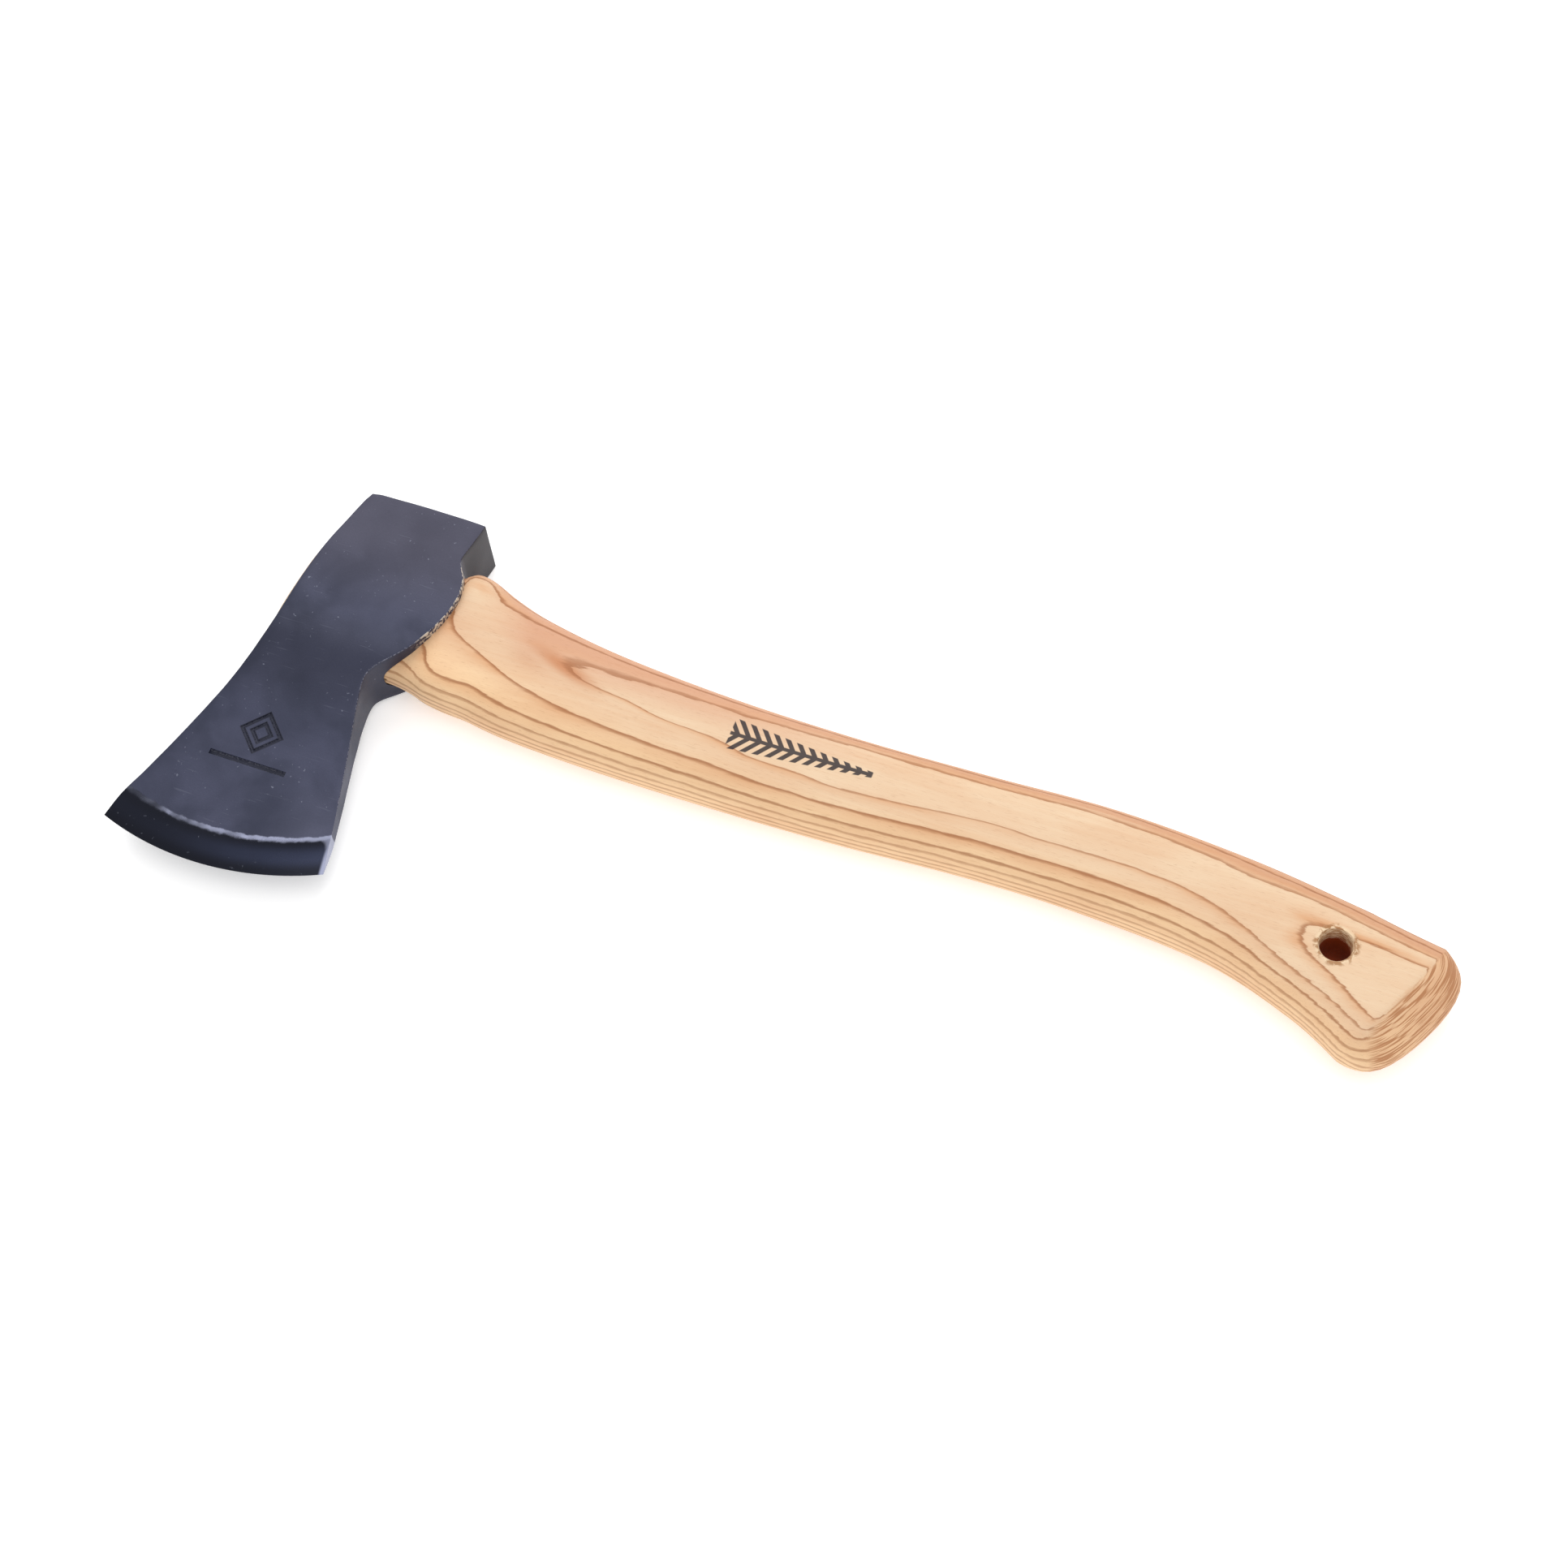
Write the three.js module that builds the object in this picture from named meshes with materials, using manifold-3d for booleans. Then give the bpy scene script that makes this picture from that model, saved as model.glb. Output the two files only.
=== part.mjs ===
// A forged hatchet lying on its side: a steel head hung on a curved hardwood handle.
// The tongue of the handle fills the eye of the head. A wooden wedge in the kerf spreads the tongue,
// and a steel ring driven across the wedge locks it.
//
// Design frame, in millimetres: +X runs along the eye from the top of the head to the knob, +Y points
// to the poll and -Y to the cutting edge, and Z is across the cheeks with the mid-plane at 0.
// The whole group is then moved so that its box stands on Z = 0, centred on X and Y.
import * as THREE from "three";
import { mergeVertices } from "three/addons/utils/BufferGeometryUtils.js";
import Module from "manifold-3d";

const wasm = await Module();
wasm.setup();

// ---- Driving dimensions -------------------------------------------------------------------------

const FIT_GAP = 0.3; // between any two pieces that touch

// Eye: an oval hole, wider at the top where the wedge spreads the tongue.
const EYE_LENGTH = 41.5; // poll to edge
const EYE_WIDTH = 16.5; // cheek to cheek, at the mouth under the head
const EYE_FLARE = 2.0; // how much wider it is at the top
const EYE_SQUARENESS = 2.6; // exponent of the oval: 2 is an ellipse
const CHEEK_WALL = 3.5; // steel on each side of the mouth

// Head, in side view.
const POLL_BLOCK = 16; // solid steel behind the eye
const POLL_WIDTH = 39.8; // along the handle
const POLL_SETBACK = 9.5; // from the top of the eye to the top corner of the poll
const POLL_CROWN = 0.8; // fall of the striking face towards its two ends
const POLL_FLAT = 0.6; // share of the striking face that is flat
const BLADE_LENGTH = 77.6; // from the front of the eye to the middle of the edge
const EDGE_RADIUS = 98; // of the cutting edge's arc
const EDGE_CENTRE_X = 6.5; // where along the eye the edge's arc is centred
const TOE_X = -25.4; // the two corners of the cutting edge
const HEEL_X = 48;
const NECK_TOP_X = -1; // the head's top side where the blade begins
const NECK_BOTTOM_X = 34.4; // its underside there
const NECK_DROP = 4.5; // from the front of the eye to the narrowest place of the neck
const POLL_UNDERSIDE_X = 47; // the poll's underside next to the eye
const LOBE_DROP = 5.7; // how much further the cheeks reach down the handle

// Head, seen along the handle: half thicknesses of the blade.
const BLADE_ROOT_HALF = 6.4;
const BLADE_ROOT_DROP = 15; // from the front of the eye
const BEVEL_HALF = 2.5; // where the bevel begins
const BEVEL_WIDTH = 11.3;
const EDGE_HALF = 0.15; // the cutting edge keeps a narrow flat
const HEAD_EDGE_BREAK = 0.6; // chamfer round the outline

// Handle.
const HANDLE_LENGTH = 380; // end of the tongue to end of the knob
const TONGUE_PROUD = 0.8; // above the head, on the axis of the eye
const TONGUE_CUT_SLOPE = 0.11; // the tongue is sawn parallel to the head's top
const KNOB_BULGE = 10.5; // how far the end of the knob is rounded out
const KNOB_EDGE = 4; // rounding of the knob's end towards its two flat sides
const HOLE_DIAMETER = 9.5;
const HOLE_FROM_END = 34.2;
const HOLE_FROM_BACK = 25;
const KERF_DEPTH = 38;

// Wedges.
const WEDGE_TOP = 5; // thickness at the sawn end
const WEDGE_TIP = 1.4;
const WEDGE_DEPTH = 34;
const RING_DIAMETER = 13;
const RING_WALL = 1.7; // at the struck end
const RING_TIP = 0.5; // at the sharp end
const RING_DEPTH = 9;

// Fineness of the round shapes.
const ROUND_STEPS = 40;
const HANDLE_STEPS = 52;
const OUTLINE_STEPS = 5; // for each point an outline's curve goes through
const CHEEK_STEPS = 28;
const EDGE_STEPS = 150; // in a full circle

// ---- Derived sizes ------------------------------------------------------------------------------

const eyeHalf = EYE_LENGTH / 2;
const headHalf = EYE_WIDTH / 2 + CHEEK_WALL; // half the thickness across the cheeks
const pollY = eyeHalf + POLL_BLOCK;
const edgeY = -(eyeHalf + BLADE_LENGTH);
const edgeCentreY = edgeY + EDGE_RADIUS;
const cutX = -TONGUE_PROUD; // X of the sawn end of the tongue on the eye's axis
const ringTop = cutX + (TONGUE_CUT_SLOPE * RING_DIAMETER) / 2; // X of the ring's struck end
const neckY = -(eyeHalf + NECK_DROP);
const lobeX = POLL_UNDERSIDE_X + LOBE_DROP; // X of the lowest place of the cheeks
const handleEnd = HANDLE_LENGTH - TONGUE_PROUD; // X of the end of the knob

// Y of the cutting edge at a place X along the eye.
const edgeAt = (x) => edgeCentreY - Math.sqrt(EDGE_RADIUS ** 2 - (x - EDGE_CENTRE_X) ** 2);

// ---- Helpers ------------------------------------------------------------------------------------

const vec2 = (pairs) => pairs.map(([x, y]) => new THREE.Vector2(x, y));

// A three.js geometry as a manifold-3d solid.
function solid(geometry) {
  const bare = geometry.clone();
  bare.deleteAttribute("normal");
  bare.deleteAttribute("uv");
  const merged = mergeVertices(bare, 1e-4);
  return new wasm.Manifold(
    new wasm.Mesh({
      numProp: 3,
      vertProperties: new Float32Array(merged.attributes.position.array),
      triVerts: new Uint32Array(merged.index.array),
    }),
  );
}

// A manifold-3d solid as a named mesh.
function mesh(name, made, material) {
  const { vertProperties, triVerts } = made.getMesh();
  const geometry = new THREE.BufferGeometry()
    .setAttribute("position", new THREE.BufferAttribute(vertProperties, 3))
    .setIndex(new THREE.BufferAttribute(triVerts, 1));
  geometry.computeVertexNormals();
  const out = new THREE.Mesh(geometry, material);
  out.name = name;
  return out;
}

// An outline in X and Y, extruded evenly to both sides of the mid-plane.
function slab(shape, depth, edgeBreak = 0) {
  const geometry = new THREE.ExtrudeGeometry(shape, {
    depth: depth - 2 * edgeBreak,
    bevelEnabled: edgeBreak > 0,
    bevelSize: edgeBreak,
    bevelThickness: edgeBreak,
    bevelOffset: -edgeBreak,
    bevelSegments: 1,
    curveSegments: OUTLINE_STEPS,
  });
  return geometry.translate(0, 0, -depth / 2 + edgeBreak);
}

// A run of oval rings, closed at both ends. Each ring has a centre, the direction and half length of
// its long axis, its half thickness in Z and its squareness.
function loft(rings) {
  const geometry = new THREE.CylinderGeometry(1, 1, 1, ROUND_STEPS, rings.length - 1);
  const position = geometry.attributes.position;
  const bend = (c, squareness) => Math.sign(c) * Math.abs(c) ** (2 / squareness);
  const point = new THREE.Vector3();
  for (let i = 0; i < position.count; i += 1) {
    point.fromBufferAttribute(position, i);
    const ring = rings[Math.round((0.5 - point.y) * (rings.length - 1))];
    const across = ring.half * bend(point.z, ring.squareness);
    const up = -ring.thick * bend(point.x, ring.squareness);
    position.setXYZ(
      i,
      ring.centre.x + ring.across.x * across,
      ring.centre.y + ring.across.y * across,
      up,
    );
  }
  return geometry;
}

// A profile of radius and depth, turned round the axis of the eye from a start on that axis.
function turned(profile, startX) {
  return new THREE.LatheGeometry(vec2(profile), ROUND_STEPS).rotateZ(-Math.PI / 2).translate(startX, 0, 0);
}

// ---- Eye ----------------------------------------------------------------------------------------

// A ring of the eye's section at X, smaller all round by gap.
function eyeRing(x, gap) {
  const depth = THREE.MathUtils.clamp(x / POLL_UNDERSIDE_X, -0.1, 1);
  return {
    centre: new THREE.Vector2(x, 0),
    across: new THREE.Vector2(0, 1),
    half: eyeHalf - gap,
    thick: (EYE_WIDTH + EYE_FLARE * (1 - depth)) / 2 - gap,
    squareness: EYE_SQUARENESS,
  };
}

// ---- Head ---------------------------------------------------------------------------------------

function headOutline() {
  const pollRight = POLL_SETBACK + POLL_WIDTH;
  const shape = new THREE.Shape();
  shape.moveTo(POLL_SETBACK, pollY - POLL_CROWN);
  // Top of the head, from the poll to the toe.
  shape.splineThru(
    vec2([
      [POLL_SETBACK * 0.5, pollY - POLL_BLOCK],
      [0, -eyeHalf * 0.45],
      [NECK_TOP_X, -eyeHalf],
    ]),
  );
  shape.splineThru(
    vec2([
      [NECK_TOP_X - 5, neckY - 12],
      [TOE_X + 14, neckY - 25.5],
      [TOE_X, edgeAt(TOE_X)],
    ]),
  );
  // Past the cutting edge, which the bevel cuts to its arc.
  shape.lineTo(TOE_X - 2, edgeY - 5);
  shape.lineTo(HEEL_X + 2, edgeY - 5);
  shape.lineTo(HEEL_X, edgeAt(HEEL_X));
  // Underside of the blade, round the neck and over the lobe of the cheeks to the poll.
  shape.splineThru(
    vec2([
      [HEEL_X - 4, neckY - 45],
      [NECK_BOTTOM_X + 1.6, neckY - 10.5],
      [NECK_BOTTOM_X + 0.4, neckY - 2],
      [NECK_BOTTOM_X + 3.4, neckY + 5],
      [NECK_BOTTOM_X + 9, neckY + 10.5],
      [lobeX - 3.6, -eyeHalf * 0.3],
      [lobeX, eyeHalf * 0.35],
      [lobeX - 1.8, eyeHalf * 0.8],
      [POLL_UNDERSIDE_X + 0.4, eyeHalf],
    ]),
  );
  shape.lineTo(POLL_UNDERSIDE_X, eyeHalf + 2.5);
  shape.lineTo(pollRight, pollY - POLL_CROWN);
  const slope = (POLL_WIDTH * (1 - POLL_FLAT)) / 2;
  shape.lineTo(pollRight - slope, pollY);
  shape.lineTo(POLL_SETBACK + slope, pollY);
  return shape;
}

// The head seen along the handle: square at the poll and the eye, then hollowed down to the blade.
function cheekTaper() {
  const half = [
    [pollY + 5, headHalf],
    [-eyeHalf * 0.7, headHalf],
    [-eyeHalf - 1, headHalf * 0.89],
    [-eyeHalf - BLADE_ROOT_DROP * 0.5, (headHalf + BLADE_ROOT_HALF) * 0.45],
    [-eyeHalf - BLADE_ROOT_DROP, BLADE_ROOT_HALF],
    [-eyeHalf - BLADE_ROOT_DROP * 2.2, BLADE_ROOT_HALF * 0.66],
    [edgeY + BEVEL_WIDTH, BEVEL_HALF],
    [edgeY - 5, BEVEL_HALF * 0.85],
  ];
  const curve = new THREE.SplineCurve(vec2(half)).getPoints(CHEEK_STEPS);
  const mirrored = curve.map((p) => new THREE.Vector2(p.x, -p.y)).reverse();
  const reach = HANDLE_LENGTH;
  const geometry = new THREE.ExtrudeGeometry(new THREE.Shape([...curve, ...mirrored]), {
    depth: reach,
    bevelEnabled: false,
  });
  // The outline was drawn with Y as x and Z as y: turn it so that it is extruded along X.
  return geometry
    .applyMatrix4(new THREE.Matrix4().makeBasis(
      new THREE.Vector3(0, 1, 0),
      new THREE.Vector3(0, 0, 1),
      new THREE.Vector3(1, 0, 0),
    ))
    .translate(-reach / 2, 0, 0);
}

// A disc round the centre of the edge's arc, ground to a slightly convex bevel at its rim.
function bevelDisc() {
  const steps = 5;
  const ground = Array.from({ length: steps + 1 }, (_, i) => {
    const t = i / steps;
    return [
      EDGE_RADIUS - BEVEL_WIDTH * (1 - t),
      EDGE_HALF + (BEVEL_HALF - EDGE_HALF) * (1 - t ** 1.25),
    ];
  });
  const shoulder = [EDGE_RADIUS - 3 * BEVEL_WIDTH, headHalf * 2];
  const upper = [[0, headHalf * 2], shoulder, ...ground];
  const lower = upper.map(([r, z]) => [r, -z]);
  return new THREE.LatheGeometry(vec2([...lower, ...upper.reverse()]), EDGE_STEPS)
    .rotateX(Math.PI / 2)
    .translate(EDGE_CENTRE_X, edgeCentreY, 0);
}

function headSolid() {
  const eye = loft([-eyeHalf, 0, POLL_UNDERSIDE_X, 2 * POLL_UNDERSIDE_X].map((x) => eyeRing(x, 0)));
  return solid(slab(headOutline(), 2 * headHalf, HEAD_EDGE_BREAK))
    .intersect(solid(cheekTaper()))
    .intersect(solid(bevelDisc()))
    .subtract(solid(eye));
}

// ---- Handle -------------------------------------------------------------------------------------

// Stations down the handle, from the eye to the knob: X and Y of the back (poll side) and of the belly
// (edge side), then the half thickness and the squareness of the section.
function handleStations() {
  const fit = eyeHalf - FIT_GAP;
  const thin = EYE_WIDTH / 2 - FIT_GAP;
  const end = handleEnd;
  const rows = [
    [NECK_BOTTOM_X + 1, fit, NECK_BOTTOM_X + 1, -fit, thin, EYE_SQUARENESS],
    [POLL_UNDERSIDE_X + 0.8, fit, POLL_UNDERSIDE_X - 8, -fit, thin, EYE_SQUARENESS],
    [lobeX - 2, fit + 1.2, lobeX - 4, -fit - 1.2, thin * 0.95, EYE_SQUARENESS],
    [lobeX + 2, fit + 1.7, lobeX + 1, -fit - 2.4, thin, 2.55],
    [64, 19.9, 64, -24.3, 8.9, 2.5],
    [80, 15, 80, -26.5, 10, 2.4],
    [107, 10.4, 107, -27.7, 10.6, 2.35],
    [146, 7.4, 146, -27.9, 10.5, 2.3],
    [188, 6.7, 188, -27, 10.3, 2.3],
    [end - 150, 7.7, end - 149, -24.6, 10.2, 2.3],
    [end - 110, 9.1, end - 112, -24.5, 10.4, 2.35],
    [end - 68, 6.4, end - 72, -27.8, 10.8, 2.45],
    [end - 34, 1.6, end - 44, -36.5, 11.3, 2.6],
    [end - 5, -3.6, end - 25, -46, 11.7, 2.8],
  ];
  return rows.map(([backX, backY, bellyX, bellyY, thick, squareness]) => ({
    back: new THREE.Vector2(backX, backY),
    belly: new THREE.Vector2(bellyX, bellyY),
    section: new THREE.Vector2(thick, squareness),
  }));
}

// Rings of the handle below the eye, with its rounded end.
function handleRings() {
  const stations = handleStations();
  const back = new THREE.SplineCurve(stations.map((s) => s.back));
  const belly = new THREE.SplineCurve(stations.map((s) => s.belly));
  const section = new THREE.SplineCurve(stations.map((s) => s.section));
  const rings = Array.from({ length: HANDLE_STEPS + 1 }, (_, i) => {
    const t = i / HANDLE_STEPS;
    const [b, f, s] = [back.getPoint(t), belly.getPoint(t), section.getPoint(t)];
    return {
      centre: b.clone().add(f).multiplyScalar(0.5),
      across: b.clone().sub(f).normalize(),
      half: b.distanceTo(f) / 2,
      thick: s.x,
      squareness: s.y,
    };
  });
  return [...rings, ...knobEnd(rings.at(-1))];
}

// The end of the knob: bowed out between back and belly, and eased over towards the flat sides.
function knobEnd(last) {
  const outward = new THREE.Vector2(last.across.y, -last.across.x);
  return [0.06, 0.17, 0.3, 0.45, 0.6, 0.73, 0.84, 0.92, 0.975, 1].map((t) => ({
    ...last,
    centre: last.centre.clone().addScaledVector(outward, KNOB_BULGE * t),
    half: last.half * (1 - (0.995 * t) ** 2.5) ** (1 / 2.5),
    thick: last.thick - KNOB_EDGE * t ** 1.6,
  }));
}

// The tongue fills the eye and is sawn off parallel to the head's top.
function tongueSolid() {
  const tall = 4 * EYE_LENGTH;
  const sawn = new THREE.BoxGeometry(tall, tall, tall)
    .translate(tall / 2 + cutX, 0, 0)
    .applyMatrix4(new THREE.Matrix4().makeShear(0, 0, TONGUE_CUT_SLOPE, 0, 0, 0));
  const places = [-EYE_LENGTH / 3, 0, NECK_BOTTOM_X + 1, POLL_UNDERSIDE_X];
  return solid(loft(places.map((x) => eyeRing(x, FIT_GAP)))).intersect(solid(sawn));
}

// A wedge-shaped block in the middle of the tongue, thicker all round by gap.
function wedgeBlock(depth, gap) {
  const slope = (WEDGE_TOP - WEDGE_TIP) / WEDGE_DEPTH / 2;
  const above = EYE_LENGTH / 3;
  const topHalf = WEDGE_TOP / 2 + slope * above + gap;
  const tipHalf = WEDGE_TOP / 2 - slope * depth + gap;
  const side = new THREE.Shape(
    vec2([[-above, -topHalf], [depth, -tipHalf], [depth, tipHalf], [-above, topHalf]]),
  );
  return new THREE.ExtrudeGeometry(side, { depth: 2 * EYE_LENGTH, bevelEnabled: false })
    .translate(0, 0, -EYE_LENGTH)
    .rotateX(Math.PI / 2);
}

// The ring wedge's section turned round the eye's axis, grown all round by gap. Its bore opens out
// towards the sharp end.
function ringBody(gap, above = 0) {
  const outer = RING_DIAMETER / 2;
  const deep = RING_DEPTH + gap;
  const bore = (depth) => outer - RING_WALL + (RING_WALL - RING_TIP) * depth / RING_DEPTH - gap;
  return turned([
    [bore(-above), -above],
    [outer + gap, -above],
    [outer + gap, deep],
    [bore(deep), deep],
    [bore(-above), -above],
  ], ringTop);
}

// A bore through the knob, square to its flat sides.
function lanyardHole() {
  const { back, belly } = handleStations().at(-1);
  const along = back.clone().sub(belly).normalize();
  const outward = new THREE.Vector2(along.y, -along.x);
  const centre = back.clone()
    .addScaledVector(along, -HOLE_FROM_BACK)
    .addScaledVector(outward, KNOB_BULGE - HOLE_FROM_END);
  return new THREE.CylinderGeometry(HOLE_DIAMETER / 2, HOLE_DIAMETER / 2, 4 * headHalf, ROUND_STEPS)
    .rotateX(Math.PI / 2)
    .translate(centre.x, centre.y, 0);
}

// ---- Assembly -----------------------------------------------------------------------------------

const steel = new THREE.MeshStandardMaterial({ color: 0x4a4b58, roughness: 0.45, metalness: 0.85 });
const ringSteel = new THREE.MeshStandardMaterial({ color: 0x9a9ca0, roughness: 0.4, metalness: 0.9 });
const hickory = new THREE.MeshStandardMaterial({ color: 0xe6bd8c, roughness: 0.55, metalness: 0 });
const wedgeWood = new THREE.MeshStandardMaterial({ color: 0xd8bf95, roughness: 0.7, metalness: 0 });

const tongue = tongueSolid();
const ringGroove = solid(ringBody(FIT_GAP, EYE_LENGTH / 4));
const handle = solid(loft(handleRings()))
  .add(tongue)
  .subtract(solid(wedgeBlock(KERF_DEPTH, FIT_GAP)))
  .subtract(ringGroove)
  .subtract(solid(lanyardHole()));
const woodenWedge = tongue.intersect(solid(wedgeBlock(WEDGE_DEPTH, 0))).subtract(ringGroove);

const hatchet = new THREE.Group();
hatchet.add(
  mesh("axe_head", headSolid(), steel),
  mesh("handle", handle, hickory),
  mesh("wooden_wedge", woodenWedge, wedgeWood),
  mesh("ring_wedge", solid(ringBody(0)), ringSteel),
);

// Stand the box of the whole hatchet on Z = 0, centred on X and Y.
const box = new THREE.Box3().setFromObject(hatchet);
const middle = box.getCenter(new THREE.Vector3());
hatchet.position.set(-middle.x, -middle.y, -box.min.z);

export default hatchet;
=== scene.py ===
import math

import bmesh
import bpy
from mathutils import Matrix, Vector


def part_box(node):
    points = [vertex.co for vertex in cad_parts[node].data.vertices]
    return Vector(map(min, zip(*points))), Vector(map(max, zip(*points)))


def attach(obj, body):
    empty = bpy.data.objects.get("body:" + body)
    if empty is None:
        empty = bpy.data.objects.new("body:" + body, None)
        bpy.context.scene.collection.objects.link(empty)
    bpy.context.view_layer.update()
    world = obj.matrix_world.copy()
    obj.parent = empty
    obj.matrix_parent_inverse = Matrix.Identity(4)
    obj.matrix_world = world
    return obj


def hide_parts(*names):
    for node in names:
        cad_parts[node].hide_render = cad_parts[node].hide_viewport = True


bl_info = {
    "name": "Hand Hatchet",
    "version": (1, 0, 0),
    "blender": (4, 5, 0),
    "location": "3D View > Sidebar > Hatchet",
    "description": "Makes a forged hatchet with a curved hardwood handle round its frame",
    "category": "Object",
}

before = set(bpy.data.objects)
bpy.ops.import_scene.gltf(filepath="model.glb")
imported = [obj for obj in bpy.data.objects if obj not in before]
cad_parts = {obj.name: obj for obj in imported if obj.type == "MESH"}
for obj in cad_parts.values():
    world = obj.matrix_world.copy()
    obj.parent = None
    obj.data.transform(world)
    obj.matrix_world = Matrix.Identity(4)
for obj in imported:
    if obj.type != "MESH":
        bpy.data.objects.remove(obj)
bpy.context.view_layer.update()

MM = 0.001
HEAD_LOW, HEAD_HIGH = (Vector(corner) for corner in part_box("axe_head"))

# Maker's zero: on the axis of the eye at the top of the head, midway through its thickness.
# +X runs down the handle, +Y towards the poll, and all sizes below are in millimetres from it.
TOE_REACH = 25.4
POLL_REACH = 36.75
ZERO = Vector((
    HEAD_LOW.x + TOE_REACH * MM, HEAD_HIGH.y - POLL_REACH * MM, (HEAD_LOW.z + HEAD_HIGH.z) / 2))

# Eye of the head, and the tongue of the handle in it.
EYE_HALF_LENGTH = 20.75
EYE_HALF_WIDTH_TOP = 9.25
EYE_HALF_WIDTH_MOUTH = 8.25
EYE_MOUTH = 47.0
EYE_STATIONS = (-20.0, 0.0, 12.0, 24.0, 36.0, EYE_MOUTH, 75.0)
TONGUE_END = -0.8
TONGUE_SLOPE = 0.11
TONGUE_HALF = 20.45
KERF_CENTRE, KERF_FLOOR = 12.1, 38.0
KERF_LENGTH, KERF_BREADTH, KERF_WIDTH = 51.8, 60.0, 7.1
KERF_TAPER = 0.22
GROOVE_CENTRE = (-1.5, 5.65)
GROOVE_LENGTH, GROOVE_WIDTH = 20.4, 2.3
GROOVE_STEPS = 64

# Blank of the head: its grid of columns and layers, where its stations end, and their spacing.
BLANK_COLUMNS, BLANK_LAYERS = 30, 12
BLANK_END = -102.0
FINE_ABOVE, FINE_STEP, COARSE_STEP = -40.0, 1.3, 2.0
POLL_CROWN = (
    (29.5, 25.0, "SPHERE", 0.0, 0.9), (9.2, 4.0, "SMOOTH", 0.3, -0.4),
    (49.3, 3.0, "SMOOTH", -0.1, -0.1),
)  # (X, reach, falloff, push along X, push along Y)
POLL_COLUMN = 0.9
EASED_ANGLE = 45.0
HEAD_CREASE, HANDLE_CREASE = 32.0, 35.0
HAMMER_CLOUD = 13.0
HAMMER_LEVEL = 0.6

# Cutting edge: an arc, and the grind that runs up from it.
EDGE_RADIUS = 98.0
EDGE_CENTRE = (6.5, -0.35)
EDGE_SIDES = 300
EDGE_HALF = 0.06
GRIND_WIDTH = 11.3
GRIND_HALF = 2.5
GRIND_CONVEX = 1.45
GRIND_STEPS = 10
HEEL_LINE = 47.2
ABOVE_GRIND = (
    (14.0, 2.64), (18.0, 2.95), (22.0, 3.35), (27.0, 4.2), (32.0, 7.0), (37.0, 14.0), (40.0, 20.0),
)  # (distance up from the edge, half thickness), just clear of the blade

# Mark struck in the blade: two lozenges and a bar, each with half the width of its line.
MARK_CENTRE = (10.4, -52.5)
MARK_LIFT = 0.6
LOZENGES = (6.6, 3.2)
LOZENGE_LINES = (0.85, 0.8)
BAR_BELOW = 10.8
BAR_HALF = 13.0
BAR_LINE = 0.9

# Shoulder of the handle under the head: X and Z of its corners, and (Y, lift) of back and belly.
SHOULDER_X, SHOULDER_Z = 54.5, 7.0
SHOULDER_LIFTS = ((21.0, 1.65), (-21.5, 0.9))
SHOULDER_CATCH, SHOULDER_REACH = 3.2, 11.5
SHOULDER_SPREAD = 0.4

# Knob.
KNOB_BULGE = 3.4
KNOB_REACH = 26.5
KNOB_CREST_DEPTH, KNOB_CREST_HALF = 11.5, 0.7
KNOB_DOME = (
    (0.8, 0.995, 0.985), (1.6, 0.99, 0.95), (2.6, 0.982, 0.89), (3.9, 0.97, 0.8),
    (5.4, 0.945, 0.69), (7.0, 0.905, 0.57), (8.5, 0.84, 0.45), (9.8, 0.74, 0.34),
    (10.7, 0.61, 0.24), (11.3, 0.45, 0.16), (11.7, 0.26, 0.09), (11.8, 0.08, 0.04),
)  # (distance out, share of the width, share of the thickness)
HOLE_CENTRE = (342.1, -16.1)
HOLE_RADIUS = 4.75
HOLE_SIDES = 72
HOLE_FLAT = 11.45
HOLE_RIM = (
    (-2.2, 0.0), (-1.2, 0.15), (-0.6, 0.45), (-0.2, 0.8), (0.1, 1.3),
)  # (distance out from the flat, share of the wear)
HOLE_CLEAR = (HOLE_FLAT + 3.0, 2.2)

# Head in side view: (Y, X) down its top side and its underside, then (Y, half thickness).
TOP_SIDE = (
    (36.1, 8.9), (29.2, 6.9), (22.4, 5.0), (15.6, 3.2), (5.9, 1.4), (-4.8, 0.3), (-12.6, -0.3),
    (-18.9, -1.2), (-27.1, -3.3), (-35.8, -5.9), (-49.4, -10.2), (-57.2, -12.7), (-69.8, -17.0),
    (-83.8, -22.1), (-93.2, -25.4), (-103.0, -29.2),
)
UNDERSIDE = (
    (36.1, 49.3), (28.2, 47.9), (24.0, 47.1), (21.4, 46.9), (19.0, 48.3), (16.6, 49.9),
    (13.0, 51.0), (8.8, 51.4), (3.0, 50.7), (-2.9, 48.9), (-8.2, 46.6), (-12.6, 44.2),
    (-16.9, 40.9), (-19.8, 38.2), (-22.6, 35.8), (-25.5, 34.5), (-30.0, 34.6), (-36.0, 35.7),
    (-42.1, 37.2), (-54.8, 40.4), (-70.2, 44.1), (-78.5, 46.0), (-89.2, 48.0), (-103.0, 50.8),
)
CHEEK = (
    (36.1, 11.75), (33.0, 11.8), (20.0, 11.8), (0.0, 11.75), (-14.0, 11.65), (-18.5, 11.25),
    (-22.3, 10.3), (-27.1, 8.73), (-32.0, 7.4), (-36.8, 6.3), (-41.7, 5.5), (-51.4, 4.4),
    (-61.0, 3.75), (-70.8, 3.25), (-78.5, 2.85), (-88.0, 2.5), (-103.0, 2.2),
)

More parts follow.
